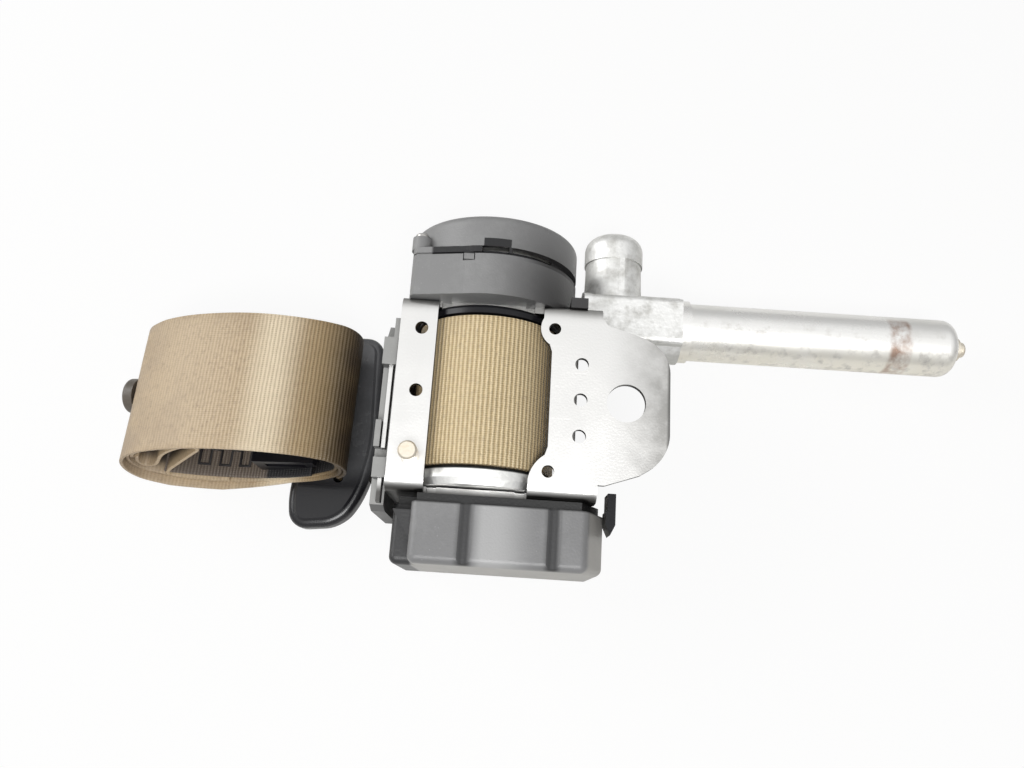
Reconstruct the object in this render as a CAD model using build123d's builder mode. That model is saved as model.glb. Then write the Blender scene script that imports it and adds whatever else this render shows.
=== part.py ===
"""Front seat-belt retractor with a piston pretensioner, and its webbing rolled in a bundle.

Millimetres. X runs along the pretensioner tube, Y along the spool, and Z out of the mounting
face. The origin is the centre of the anchor bolt hole on that face, so the body hangs below Z = 0.
"""
from build123d import *
import math
import os

os.makedirs("parts", exist_ok=True)

# Sheet steel frame
SHEET = 2.0
FRAME_LEFT = -71.5
FRAME_RIGHT = -8.0
WALL_Y = 30.9
WALL_INNER = WALL_Y - SHEET
WALL_BOTTOM = -46.0
BEND_R = 2.2
ANCHOR_R = 6.0
STUD_R = 2.85
STUD_TOP = 8.0
STUD_SHANK_R = 2.4
STRIP_HOLE_X = -64.7
STRIP_HOLE_PITCH = 20.2
TIE_BAR_AT = (-17.5, -9.5)
TIE_BAR_R = 3.0
BUSH_R = 8.0

# Spool and the webbing on it
SPOOL_X = -44.0
SPOOL_Z = -20.0
SHAFT_R = 4.0
DRUM_R = 12.0
ROLL_R = 23.8
WEB_WIDTH = 47.0
WEB_T = 1.2
SPOOL_SHIFT = 1.2
FLANGE_R = 23.3
FLANGE_T = 2.8
LOWER_FLANGE_T = 5.3
FLANGE_Y = 24.2
FIT = 0.06

# Plastic housings
HOUSING_R = 28.4
HOUSING_Z = -23.0
SHELL = 1.8
BASE_END = 44.5
CAP_LIP_END = 47.0
LIP_STOP = -37.9
CAP_END = 58.0
COVER_END = -51.8
COVER_TOP = -1.5
COVER_BOTTOM = -51.5
COVER_RIM = 2.6
FLUTE_R = 3.2
SCREW_AT = (-67.6, -3.4)
SCREW_R = 2.2
BOSS_T = 4.6
SPRING_CASE_R = 24.2
SPRING_ARBOR_R = 6.0
SPRING_T = 0.4
SPRING_HALF_TURNS = 11

# Pretensioner
TUBE_Y = 37.8
TUBE_Z = -38.0
TUBE_R = 10.25
TUBE_END = 121.3
BORE_R = 8.75
SOCKET = 10.0
UNION_R = 12.0
UNION_PAD = 8.5
UNION_LEFT = -12.0
UNION_RIGHT = 22.7
STUB_X = -0.9
STUB_TILT = 0.0
STUB_SEAM = 23.0
STUB_LENGTH = 34.0
STUB_BORE_R = 8.4
STUB_BORE_END = 30.4
UNION_SCREWS_AT = ((-24.5, TUBE_Z + 5.5), (-24.5, TUBE_Z - 5.5))
UNION_SCREW_R = 1.9
CABLE_R = 1.3
CABLE_SIDES = 6
PULLEY_PITCH_R = 18.0
PULLEY_T = 7.6
HUB_R = 7.0
ROLLER_R = 1.2
PISTON_START = 24.5
PISTON_LENGTH = 16.0
PISTON_R = 8.6

# Lock mechanism
RATCHET_R = 15.5
RATCHET_ROOT = 13.4
RATCHET_TEETH = 16
RATCHET_Y = -36.0
RATCHET_T = 4.0
PAWL_PIVOT = (-32.2, -38.8)
LOCK_GEAR_R = 13.2
LOCK_GEAR_Y = -42.0
LOCK_GEAR_T = 3.0
LOCK_GEAR_TEETH = 24
LOCK_GEAR_TURN = 6.8
BALL_R = 4.0
BALL_AT = (-14.66, -43.0, -34.0)
LEVER_PIVOT = (-21.0, -47.0)

# Bundle of rolled webbing
BUNDLE_X = -126.0
BUNDLE_Y = 1.0
BUNDLE_Z = -29.5
BUNDLE_HALF_LENGTH = 39.0
BUNDLE_HALF_HEIGHT = 18.5
BUNDLE_END_R = 11.0
BUNDLE_WALL = 4.8
BUNDLE_LEAN = 6.0
BUNDLE_ROLL = 8.0
END_FOLD_T = 2.4
COVER_SPAN = (6.0, 27.0)
COVER_RISE = -1.0
BUTTON_R = 6.0
BUTTON_SEAT = 37.6
BUTTON_T = 3.8

# Webbing guide
GUIDE_LEFT = -76.8
GUIDE_TOP = -10.0
STRIP_X = -74.0

# Shoulder guide ring
RING_AT = (-93.6, -3.0, -50.6)
RING_LEAN = 2.0
RING_T = 6.4
RING_PLATE_T = 2.5
RING_PLATE_AT = (-121.0, -4.0)
RING_PLATE_R = 11.0
RING_HOLE_R = 5.5
TAIL_Z = SPOOL_Z - ROLL_R - 1.0
FLOOR_Z = -52.0


def across(y):
    """Plane square to the spool at y, with local x = X and local y = Z; it faces -Y."""
    return Plane(origin=(0, y, 0), x_dir=(1, 0, 0), z_dir=(0, -1, 0))


def spool_at(y):
    """Plane centred on the spool axis at y, facing +Y."""
    return Plane(origin=(SPOOL_X, y, SPOOL_Z), x_dir=(1, 0, 0), z_dir=(0, 1, 0))


def locked_at(y, turn=0.0):
    """Plane centred on the spool axis at y, facing -Y, so that ratchet teeth face the belt's pull."""
    heading = (math.cos(math.radians(turn)), 0, math.sin(math.radians(turn)))
    return Plane(origin=(SPOOL_X, y, SPOOL_Z), x_dir=heading, z_dir=(0, -1, 0))


def tube_at(x):
    """Plane centred on the piston tube at x, facing +X."""
    return Plane(origin=(x, TUBE_Y, TUBE_Z), x_dir=(0, 1, 0), z_dir=(1, 0, 0))


def stub_at(distance):
    """Plane square to the tilted trigger stub, this far from the tube's axis."""
    tilt = math.radians(STUB_TILT)
    along = Vector(0, math.cos(tilt), math.sin(tilt))
    return Plane(origin=Vector(STUB_X, TUBE_Y, TUBE_Z) + along * distance, x_dir=(1, 0, 0), z_dir=along)


def save(piece, label):
    """Label a finished piece and write it to its own STEP file."""
    piece.part.label = label
    export_step(piece.part, f"parts/{label}.step")


def turned(plane, outer, length, bore=0.0):
    """A plain disc or ring that stands on a plane."""
    with BuildPart() as piece:
        with BuildSketch(plane):
            Circle(outer)
            if bore:
                Circle(bore, mode=Mode.SUBTRACT)
        extrude(amount=length)
    return piece


def toothed(plane, outer, root, teeth, length, bore, slope=0.85):
    """A ratchet wheel: each tooth rises sharply and falls away over `slope` of its pitch."""
    pitch = 2 * math.pi / teeth
    points = []
    for tooth in range(teeth):
        corners = ((outer, tooth), (root, tooth + slope), (root, tooth + 1))
        points += [(radius * math.cos(turn * pitch), radius * math.sin(turn * pitch)) for radius, turn in corners]
    with BuildPart() as piece:
        with BuildSketch(plane):
            Polygon(*points, align=None)
            Circle(bore, mode=Mode.SUBTRACT)
        extrude(amount=length)
    return piece


# Frame: one U-shaped steel pressing with a window for the roll and a flat anchor ear
ear_start = FRAME_RIGHT - 1.0
with BuildPart() as retractor_frame:
    with BuildSketch(Plane.YZ.offset(FRAME_LEFT)) as channel:
        with Locations((0, WALL_BOTTOM / 2)):
            Rectangle(2 * WALL_Y, -WALL_BOTTOM)
        fillet(channel.vertices().group_by(Axis.Y)[-1], BEND_R + SHEET)
        with BuildSketch(mode=Mode.SUBTRACT) as hollow:
            with Locations((0, WALL_BOTTOM / 2 - SHEET)):
                Rectangle(2 * WALL_INNER, -WALL_BOTTOM)
            fillet(hollow.vertices().group_by(Axis.Y)[-1], BEND_R)
    extrude(amount=FRAME_RIGHT - FRAME_LEFT)
    # The walls narrow towards the back to clear the union and the belt's way out
    with BuildSketch(across(0)):
        Polygon((-7, -7), (-14.5, -20), (-14.5, -60), (0, -60), (0, -7), align=None)
        Polygon((-73, -26), (-68, -34), (-66, -47), (-73, -47), align=None)
    extrude(amount=WALL_Y + 1, both=True, mode=Mode.SUBTRACT)
    # Anchor ear
    with BuildSketch(Plane.XY.offset(-SHEET)):
        with BuildLine():
            Polyline((ear_start, -25.8), (ear_start, 26.6), (-7.4, 26.6))
            ThreePointArc((-7.4, 26.6), (-6.4, 24.9), (-4.3, 24.2))
            Polyline((-4.3, 24.2), (3.7, 21.8), (6.4, 20.6))
            ThreePointArc((6.4, 20.6), (11.6, 16.2), (13.4, 9.6))
            Line((13.4, 9.6), (13.5, -9.6))
            ThreePointArc((13.5, -9.6), (11.9, -15.3), (6.9, -20.6))
            Polyline((6.9, -20.6), (4.6, -22.1), (-5.9, -25.8), (ear_start, -25.8))
        make_face()
    extrude(amount=SHEET)
    # Window, with a rounded tab round each corner hole
    with BuildSketch(Plane.XY.offset(-BEND_R - SHEET)):
        with BuildLine():
            Polyline((-28.9, -25.0), (-28.9, -32), (-60.0, -32), (-60.0, 32), (-26.6, 32), (-26.6, 26.0))
            ThreePointArc((-26.6, 26.0), (-27.4, 22.4), (-24.4, 17.4))
            Polyline((-24.4, 17.4), (-23.6, 15.0), (-23.4, -15.0), (-24.2, -17.6))
            ThreePointArc((-24.2, -17.6), (-27.3, -20.8), (-28.9, -25.0))
        make_face()
    extrude(amount=10, mode=Mode.SUBTRACT)
    # Notches that the press leaves in the cut edges of both walls
    for side in (-1, 1):
        with BuildSketch(across(side * (WALL_Y - SHEET / 2))):
            with Locations((-57.8, -4.4), (-31.0, -4.4)):
                Rectangle(3.0, 3.2)
        extrude(amount=SHEET, both=True, mode=Mode.SUBTRACT)
    # Holes in both walls for the shaft's bushes and the tie bar
    with BuildSketch(across(0)):
        with Locations((SPOOL_X, SPOOL_Z)):
            Circle(BUSH_R)
        with Locations(TIE_BAR_AT):
            Circle(TIE_BAR_R - 1)
    extrude(amount=WALL_Y + 1, both=True, mode=Mode.SUBTRACT)
    # Screw holes for the union, in the spring side's wall only
    with BuildSketch(across(WALL_INNER - 1)):
        with Locations(*UNION_SCREWS_AT):
            Circle(UNION_SCREW_R)
    extrude(amount=-SHEET - 2, mode=Mode.SUBTRACT)
    # Anchor bolt hole, strip holes, corner holes and the column beside the bolt
    with BuildSketch(Plane.XY):
        Circle(ANCHOR_R)
        with Locations((STRIP_HOLE_X, STRIP_HOLE_PITCH), (STRIP_HOLE_X, 0)):
            Circle(2.05)
        with Locations((STRIP_HOLE_X, -STRIP_HOLE_PITCH)):
            Circle(STUD_SHANK_R)
        with Locations((-23.0, 22.6), (-23.0, -22.6)):
            Circle(1.9)
        with Locations((-14.1, 11.5), (-14.1, 0.1), (-14.1, -11.3)):
            Circle(2.1)
    extrude(amount=-SHEET - 1, mode=Mode.SUBTRACT)
save(retractor_frame, "retractor_frame")

# Locating stud: a turned pin riveted into the frame
with BuildPart() as locating_stud:
    with BuildSketch(Plane(origin=(STRIP_HOLE_X, -STRIP_HOLE_PITCH, 0), x_dir=(1, 0, 0), z_dir=(0, -1, 0))):
        Polygon((0, -SHEET - 0.9), (3.2, -SHEET - 0.9), (3.2, -SHEET), (STUD_SHANK_R, -SHEET),
                (STUD_SHANK_R, 0), (STUD_R, 0), (STUD_R, STUD_TOP - 0.5), (STUD_R - 0.5, STUD_TOP),
                (0, STUD_TOP), align=None)
    revolve(axis=Axis((STRIP_HOLE_X, -STRIP_HOLE_PITCH, 0), (0, 0, 1)))
save(locating_stud, "locating_stud")

# Tie bar that keeps the walls apart, with a spigot riveted into each wall
with BuildPart() as tie_bar:
    with BuildSketch(across(0)):
        with Locations(TIE_BAR_AT):
            Circle(TIE_BAR_R)
    extrude(amount=WALL_INNER, both=True)
    with BuildSketch(across(0)):
        with Locations(TIE_BAR_AT):
            Circle(TIE_BAR_R - 1)
    extrude(amount=WALL_Y, both=True)
save(tie_bar, "tie_bar")

# Shaft bushes, each with a collar on the outside of its wall
for side, label in ((1, "shaft_bush_spring_side"), (-1, "shaft_bush_lock_side")):
    with BuildPart() as shaft_bush:
        with BuildSketch(spool_at(side * WALL_INNER)):
            Circle(BUSH_R)
            Circle(SHAFT_R + FIT, mode=Mode.SUBTRACT)
        extrude(amount=side * SHEET)
        with BuildSketch(spool_at(side * WALL_Y)):
            Circle(BUSH_R + 2)
            Circle(SHAFT_R + FIT, mode=Mode.SUBTRACT)
        extrude(amount=side * 1.0)
    save(shaft_bush, label)

# Spool shaft: the torsion bar, from the lock gear to the return spring
spool_shaft = turned(spool_at(-46), SHAFT_R, 46 + 54)
save(spool_shaft, "spool_shaft")

# Drum that the webbing is wound on, with four lightening slots along it
with BuildPart() as spool_drum:
    with BuildSketch(spool_at(SPOOL_SHIFT - FLANGE_Y)):
        Circle(DRUM_R)
        Circle(SHAFT_R, mode=Mode.SUBTRACT)
        with PolarLocations(8.2, 4):
            Circle(1.9, mode=Mode.SUBTRACT)
    extrude(amount=2 * FLANGE_Y)
save(spool_drum, "spool_drum")

# Flanges at both ends of the drum: black plastic above, cast alloy below
for side, thickness, label in ((1, FLANGE_T, "spool_flange_upper"), (-1, LOWER_FLANGE_T, "spool_flange_lower")):
    with BuildPart() as spool_flange:
        with BuildSketch(spool_at(SPOOL_SHIFT + side * FLANGE_Y)):
            Circle(FLANGE_R)
            Circle(SHAFT_R, mode=Mode.SUBTRACT)
        extrude(amount=side * thickness)
        rim = spool_flange.edges().filter_by(GeomType.CIRCLE).sort_by(SortBy.RADIUS)[-2:]
        chamfer(rim.sort_by(Axis.Y)[0 if side < 0 else -1], 0.4 * thickness, 1.0)
    save(spool_flange, label)

# Webbing still wound on the drum
webbing_roll = turned(spool_at(SPOOL_SHIFT - WEB_WIDTH / 2), ROLL_R, WEB_WIDTH, DRUM_R)
save(webbing_roll, "webbing_roll")

# Clutch hub keyed to the shaft inside the cable pulley
clutch_hub = turned(spool_at(33.0), HUB_R, 9.6, SHAFT_R)
save(clutch_hub, "clutch_hub")

# Spring arbor on the end of the shaft
spring_arbor = turned(spool_at(46.2), SPRING_ARBOR_R, 9.4, SHAFT_R)
save(spring_arbor, "spring_arbor")

# Cable pulley: a grooved wheel that runs free on the clutch hub
pulley_bore = HUB_R + 2 * ROLLER_R + 0.1
pulley_start = TUBE_Y - PULLEY_T / 2
with BuildPart() as cable_pulley:
    with BuildSketch(spool_at(pulley_start)):
        Circle(PULLEY_PITCH_R + 2.4)
        Circle(pulley_bore, mode=Mode.SUBTRACT)
    extrude(amount=PULLEY_T)
    groove_centre = (SPOOL_X + PULLEY_PITCH_R, TUBE_Y)
    with BuildSketch(Plane.XY.offset(SPOOL_Z)):
        with Locations(groove_centre):
            RegularPolygon(CABLE_R, CABLE_SIDES, major_radius=False, rotation=180 / CABLE_SIDES)
        with Locations((groove_centre[0] + 2, groove_centre[1])):
            Rectangle(4, 2 * CABLE_R)
    revolve(axis=Axis((SPOOL_X, 0, SPOOL_Z), (0, 1, 0)), mode=Mode.SUBTRACT)
save(cable_pulley, "cable_pulley")

# Cable wound once round the pulley, stopping short of the straight run
with BuildPart() as cable_wrap:
    with BuildSketch(Plane.XY.offset(SPOOL_Z)):
        with Locations(groove_centre):
            RegularPolygon(CABLE_R, CABLE_SIDES, major_radius=False, rotation=180 / CABLE_SIDES)
    revolve(axis=Axis((SPOOL_X, 0, SPOOL_Z), (0, 1, 0)))
save(cable_wrap, "cable_wrap")

# Clutch rollers between the hub and the pulley
with BuildPart() as clutch_rollers:
    with BuildSketch(spool_at(pulley_start + 0.8)):
        with PolarLocations(HUB_R + ROLLER_R + 0.06, 8):
            Circle(ROLLER_R)
    extrude(amount=PULLEY_T - 1.6)
save(clutch_rollers, "clutch_rollers")


def upper_outline(radius, inset=0.0):
    """Housing outline above the frame: a round drum with a squared shoulder on the left."""
    with Locations((SPOOL_X, HOUSING_Z)):
        Circle(radius)
    Polygon((-69.6 + inset, -30), (-69.6 + inset, -0.9 - inset), (-68.4, 0.7 - inset),
            (-52.0, 4.2 - inset), (SPOOL_X, HOUSING_Z), align=None)


# Pretensioner base: open box that holds the cable pulley against the frame
with BuildPart() as pretensioner_base:
    with BuildSketch(across(WALL_Y)):
        upper_outline(HOUSING_R)
    extrude(amount=-(BASE_END - WALL_Y))
    # Tunnel for the cable, out to the union
    with BuildSketch(across(WALL_Y + 3.2)):
        with Locations(((-26 + UNION_LEFT) / 2, TUBE_Z)):
            Rectangle(26 + UNION_LEFT, 16)
    extrude(amount=-(BASE_END - WALL_Y - 5.0))
    # Lug beside the frame's corner
    with BuildSketch(across(WALL_Y)):
        with Locations((-15.4, -8.0)):
            Rectangle(5.4, 12.0)
    extrude(amount=-3.4)
    # Hollow
    with BuildSketch(across(WALL_Y + SHELL)):
        with Locations((SPOOL_X, HOUSING_Z)):
            Circle(HOUSING_R - SHELL)
    extrude(amount=-(BASE_END - WALL_Y), mode=Mode.SUBTRACT)
    with BuildSketch(across(WALL_Y)):
        with Locations((SPOOL_X, SPOOL_Z)):
            Circle(BUSH_R + 2)
    extrude(amount=-SHELL, mode=Mode.SUBTRACT)
    with BuildSketch(tube_at(-30)):
        Circle(CABLE_R + 1.2)
    extrude(amount=30, mode=Mode.SUBTRACT)
    # Seat for the union's flange
    with BuildSketch(across(WALL_Y)):
        with Locations((-22.5, TUBE_Z)):
            Rectangle(17.0, 21.0)
    extrude(amount=-3.2, mode=Mode.SUBTRACT)
    # Notch that takes the cap's tab
    with BuildSketch(across(BASE_END)):
        with Locations((-51.5, 3.0)):
            Rectangle(3.8, 8.0)
    extrude(amount=2.4, mode=Mode.SUBTRACT)
save(pretensioner_base, "pretensioner_base")

# Spring cover: a lip with the tab and latch slot, and the round spring case on it
with BuildPart() as spring_cover:
    with BuildSketch(across(BASE_END)):
        upper_outline(HOUSING_R - 0.6, 0.6)
    extrude(amount=-0.5)
    with BuildSketch(across(BASE_END + 0.5)):
        upper_outline(HOUSING_R)
    extrude(amount=-(CAP_LIP_END - BASE_END - 0.5))
    # On the right the lip falls away, which leaves the drum's edge standing clear of the base
    with BuildSketch(across(BASE_END)):
        with Locations((LIP_STOP + 20, HOUSING_Z + 4)):
            Rectangle(40, 80)
        with Locations((SPOOL_X, HOUSING_Z)):
            Circle(HOUSING_R - 2.2, mode=Mode.SUBTRACT)
    extrude(amount=-(CAP_LIP_END - BASE_END), mode=Mode.SUBTRACT)
    with BuildSketch(across(CAP_LIP_END)):
        with Locations((SPOOL_X, HOUSING_Z)):
            Circle(HOUSING_R)
    extrude(amount=-(CAP_END - CAP_LIP_END))
    fillet(spring_cover.edges().filter_by(GeomType.CIRCLE).group_by(Axis.Y)[-1], 2.4)
    # Screw boss on the left shoulder
    with BuildSketch(across(CAP_LIP_END)):
        with Locations(SCREW_AT):
            Circle(SCREW_R + 0.8)
    extrude(amount=-BOSS_T)
    # Tab into the base
    with BuildSketch(across(BASE_END + 1.0)):
        with Locations((-51.5, 2.6)):
            Rectangle(3.2, 3.6)
    extrude(amount=3.0)
    # Latch slot in the lip
    with BuildSketch(across(BASE_END)):
        with Locations((-43.2, 5.0)):
            Rectangle(8.6, 5.0)
    extrude(amount=-(CAP_LIP_END - BASE_END), mode=Mode.SUBTRACT)
    # Spring chamber, open towards the frame
    with BuildSketch(spool_at(BASE_END)):
        Circle(SPRING_CASE_R)
    extrude(amount=CAP_END - BASE_END - SHELL, mode=Mode.SUBTRACT)
save(spring_cover, "spring_cover")

# Plate that shuts the spring chamber off from the pulley
spring_plate = turned(spool_at(BASE_END), SPRING_CASE_R, 1.2, HUB_R)
save(spring_plate, "spring_plate")

# Return spring: a spiral of half turns, each a little larger than the last
spring_start_r = SPRING_ARBOR_R + 0.05 + SPRING_T / 2
spring_step = (SPRING_CASE_R - SPRING_T / 2 - spring_start_r) / (SPRING_HALF_TURNS - 1)
with BuildPart() as return_spring:
    with BuildSketch(spool_at(46.4)):
        with BuildLine():
            for half_turn in range(SPRING_HALF_TURNS):
                odd = half_turn % 2
                CenterArc((odd * spring_step, 0), spring_start_r + half_turn * spring_step, 180 * odd, 180)
        trace(line_width=SPRING_T)
    extrude(amount=8.6)
save(return_spring, "return_spring")

# Cover screw: a pan head on the boss
with BuildPart() as cover_screw:
    with BuildSketch(across(CAP_LIP_END + BOSS_T)):
        with Locations(SCREW_AT):
            Circle(SCREW_R)
    extrude(amount=-1.5)
    fillet(cover_screw.edges().group_by(Axis.Y)[-1], 0.7)
save(cover_screw, "cover_screw")


def lower_outline(inset=0.0):
    """Lock cover outline: flat front, sloped right side and a step down on the left."""
    Polygon((-63.2 + inset, COVER_TOP - inset), (-10.6 - inset, COVER_TOP - inset), (-4.4 - inset, -15),
            (-4.4 - inset, COVER_BOTTOM + inset), (-69.8 + inset, COVER_BOTTOM + inset),
            (-69.8 + inset, -13 - inset), (-63.2 + inset, -13 - inset), align=None)


# Lock cover: deep moulded box over the locking side, with rounded edges on its front
with BuildPart() as lock_cover:
    with BuildSketch(across(-WALL_Y - COVER_RIM)) as cover_outline:
        lower_outline()
        fillet(cover_outline.vertices().group_by(Axis.Y)[-1], 2.4)
        fillet(cover_outline.vertices().sort_by_distance((-69.8, -13, 0))[0], 2.0)
    extrude(amount=-COVER_END - WALL_Y - COVER_RIM)
    fillet(lock_cover.edges().group_by(Axis.Y)[0], 2.4)
    # Rim that seats on the frame, set back all round
    with BuildSketch(across(-WALL_Y)):
        lower_outline(1.5)
    extrude(amount=COVER_RIM + 0.5)
    # Gusset in the corner of the step
    with BuildSketch(Plane.XY.offset(-13.5)):
        Polygon((-69.0, -WALL_Y - COVER_RIM - 2.4), (-62.2, -WALL_Y - COVER_RIM - 2.4),
                (-62.2, -46.0), align=None)
    extrude(amount=8.0)
    # Two shallow flutes across the front
    with BuildSketch(across(-WALL_Y - COVER_RIM)):
        with Locations((-46.5, COVER_TOP + FLUTE_R - 0.7), (-20.2, COVER_TOP + FLUTE_R - 0.7)):
            Circle(FLUTE_R)
    extrude(amount=-COVER_END - WALL_Y, mode=Mode.SUBTRACT)
    # Hollow
    with BuildSketch(across(-WALL_Y)):
        lower_outline(2.6)
    extrude(amount=COVER_RIM, mode=Mode.SUBTRACT)
    with BuildSketch(across(-WALL_Y - COVER_RIM)):
        lower_outline(SHELL)
    extrude(amount=-COVER_END - WALL_Y - COVER_RIM - SHELL, mode=Mode.SUBTRACT)
save(lock_cover, "lock_cover")

# Lock ratchet on the shaft
lock_ratchet = toothed(locked_at(RATCHET_Y + RATCHET_T), RATCHET_R, RATCHET_ROOT, RATCHET_TEETH, RATCHET_T,
                       SHAFT_R)
save(lock_ratchet, "lock_ratchet")

# Lock gear that the sensor lever catches
lock_gear = toothed(locked_at(LOCK_GEAR_Y + LOCK_GEAR_T, LOCK_GEAR_TURN), LOCK_GEAR_R, LOCK_GEAR_R - 1.4,
                    LOCK_GEAR_TEETH, LOCK_GEAR_T, SHAFT_R)
save(lock_gear, "lock_gear")

# Pawl and the pin that it turns on
pawl_tip_angle = math.radians(-25)
pawl_tip = (SPOOL_X + 16.1 * math.cos(pawl_tip_angle), SPOOL_Z + 16.1 * math.sin(pawl_tip_angle))
with BuildPart() as lock_pawl:
    with BuildSketch(across(RATCHET_Y + RATCHET_T)):
        with Locations(PAWL_PIVOT):
            Circle(3.2)
        Polygon((PAWL_PIVOT[0] - 1.6, PAWL_PIVOT[1] + 2.6), (PAWL_PIVOT[0] + 3.1, PAWL_PIVOT[1] + 0.8),
                (pawl_tip[0] + 3.4, pawl_tip[1] - 1.0), (pawl_tip[0] + 1.6, pawl_tip[1] + 0.9),
                pawl_tip, (pawl_tip[0] - 0.3, pawl_tip[1] - 2.2), align=None)
        with Locations(PAWL_PIVOT):
            Circle(1.6, mode=Mode.SUBTRACT)
    extrude(amount=RATCHET_T)
save(lock_pawl, "lock_pawl")

with BuildPart() as pawl_pin:
    with BuildSketch(across(-WALL_Y)):
        with Locations(PAWL_PIVOT):
            Circle(1.6 - FIT)
    extrude(amount=8.5)
save(pawl_pin, "pawl_pin")

# Vehicle sensor: a cup for the ball and cheeks for the lever's pin
with BuildPart() as sensor_housing:
    with BuildSketch(across(-37)):
        Polygon((-12.4, -44), (-12.4, -24), (-6.2, -24), (-6.2, -49.7), (-24, -49.7), (-24, -48.6),
                (-12.4, -48.6), align=None)
    extrude(amount=12)
    with BuildSketch(Plane.XY.offset(BALL_AT[2])):
        with BuildLine():
            Polyline((-12.4, BALL_AT[1]), (-12.4, BALL_AT[1] + 4.2), (-10.0, BALL_AT[1]), (-12.4, BALL_AT[1]))
        make_face()
    revolve(axis=Axis((0, BALL_AT[1], BALL_AT[2]), (1, 0, 0)), mode=Mode.SUBTRACT)
save(sensor_housing, "sensor_housing")

with BuildPart() as sensor_ball:
    with Locations(BALL_AT):
        Sphere(BALL_R)
save(sensor_ball, "sensor_ball")

with BuildPart() as sensor_lever:
    with BuildSketch(across(-39.2)):
        with Locations(LEVER_PIVOT):
            Circle(1.5)
        Polygon((-22.4, -47), (-20.4, -47), (-18.6, -36.5), (-18.6, -31.5), (-20.6, -27.5), (-30.6, -24.6),
                (-30.2, -26.2), (-22.4, -30), align=None)
    extrude(amount=2.6)
save(sensor_lever, "sensor_lever")


# Union: cast block that joins the frame, the piston tube and the trigger stub
with BuildPart() as union_block:
    with BuildSketch(tube_at(UNION_LEFT)):
        Circle(UNION_R)
        RectangleRounded(2 * UNION_PAD, 2 * UNION_R, 2.0)
    extrude(amount=UNION_RIGHT - UNION_LEFT)
    with BuildSketch(stub_at(0)):
        Circle(TUBE_R + 0.3)
    with BuildSketch(stub_at(STUB_SEAM)):
        Circle(TUBE_R - 0.15)
    loft()
    # Parting rib down the front of the stub
    with BuildSketch(stub_at(UNION_R - 1)):
        with Locations((1.9, -TUBE_R / 2)):
            Rectangle(2.0, TUBE_R + 0.5)
    extrude(amount=STUB_SEAM - UNION_R + 1)
    # Flange screwed to the frame wall
    with BuildSketch(across(WALL_Y)):
        with Locations((-21.0, TUBE_Z)):
            RectangleRounded(20.0, 19.0, 2.5)
    extrude(amount=-3.0)
    # Web between the flange and the barrel
    with BuildSketch(tube_at(UNION_LEFT)):
        with Locations((-5.9, 0)):
            Rectangle(3.4, 16.0)
    extrude(amount=2.0)
    # Bore, the socket for the tube, and the cable's hole in the end wall
    with BuildSketch(tube_at(UNION_LEFT + 4.0)):
        Circle(BORE_R)
    extrude(amount=60, mode=Mode.SUBTRACT)
    with BuildSketch(tube_at(UNION_RIGHT - SOCKET)):
        Circle(TUBE_R)
    extrude(amount=20, mode=Mode.SUBTRACT)
    with BuildSketch(tube_at(UNION_LEFT)):
        Circle(CABLE_R + 0.4)
    extrude(amount=5, mode=Mode.SUBTRACT)
    # Trigger bore
    with BuildSketch(stub_at(0)):
        Circle(STUB_BORE_R)
    extrude(amount=60, mode=Mode.SUBTRACT)
    # Counterbored screw holes in the flange
    with Locations(Plane(origin=(0, WALL_Y + 3.0, 0), x_dir=(1, 0, 0), z_dir=(0, 1, 0))):
        with Locations(*[(x, -z) for x, z in UNION_SCREWS_AT]):
            CounterBoreHole(UNION_SCREW_R, UNION_SCREW_R + 1.3, 1.5, depth=6)
save(union_block, "union_block")

# Screws through the union's flange into the wall
with BuildPart() as union_screws:
    with BuildSketch(across(WALL_Y + 3.0)):
        with Locations(*UNION_SCREWS_AT):
            Circle(UNION_SCREW_R + 1.3)
    extrude(amount=1.5)
    with BuildSketch(across(WALL_Y + 1.5)):
        with Locations(*UNION_SCREWS_AT):
            Circle(UNION_SCREW_R)
    extrude(amount=1.5 + SHEET)
save(union_screws, "union_screws")

# Piston tube: steel, with a drawn-in end
with BuildPart() as piston_tube:
    with BuildSketch(Plane(origin=(0, TUBE_Y, TUBE_Z), x_dir=(1, 0, 0), z_dir=(0, -1, 0))):
        with BuildLine():
            Polyline((UNION_RIGHT - SOCKET, BORE_R), (UNION_RIGHT - SOCKET, TUBE_R), (TUBE_END - 4.5, TUBE_R))
            ThreePointArc((TUBE_END - 4.5, TUBE_R), (TUBE_END - 1.3, TUBE_R - 1.3), (TUBE_END, TUBE_R - 4.5))
            Polyline((TUBE_END, TUBE_R - 4.5), (TUBE_END, 2.6), (TUBE_END - 1.6, 2.6), (TUBE_END - 1.6, 5.0),
                     (TUBE_END - 5.2, BORE_R), (UNION_RIGHT - SOCKET, BORE_R))
        make_face()
    revolve(axis=Axis((0, TUBE_Y, TUBE_Z), (1, 0, 0)))
save(piston_tube, "piston_tube")

# Crimp ring where the tube leaves the union
crimp_ring = turned(tube_at(UNION_RIGHT), TUBE_R + 0.9, 3.4, TUBE_R)
save(crimp_ring, "crimp_ring")

# Vent nipple in the end of the tube
with BuildPart() as tube_nipple:
    with BuildSketch(tube_at(TUBE_END - 1.6)):
        Circle(2.6)
    extrude(amount=1.6)
    with BuildSketch(tube_at(TUBE_END)):
        Circle(4.2)
    extrude(amount=2.4)
    with BuildSketch(tube_at(TUBE_END + 2.4)):
        Circle(2.8)
    extrude(amount=2.6)
    fillet(tube_nipple.edges().group_by(Axis.X)[-1], 1.0)
save(tube_nipple, "tube_nipple")

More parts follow.
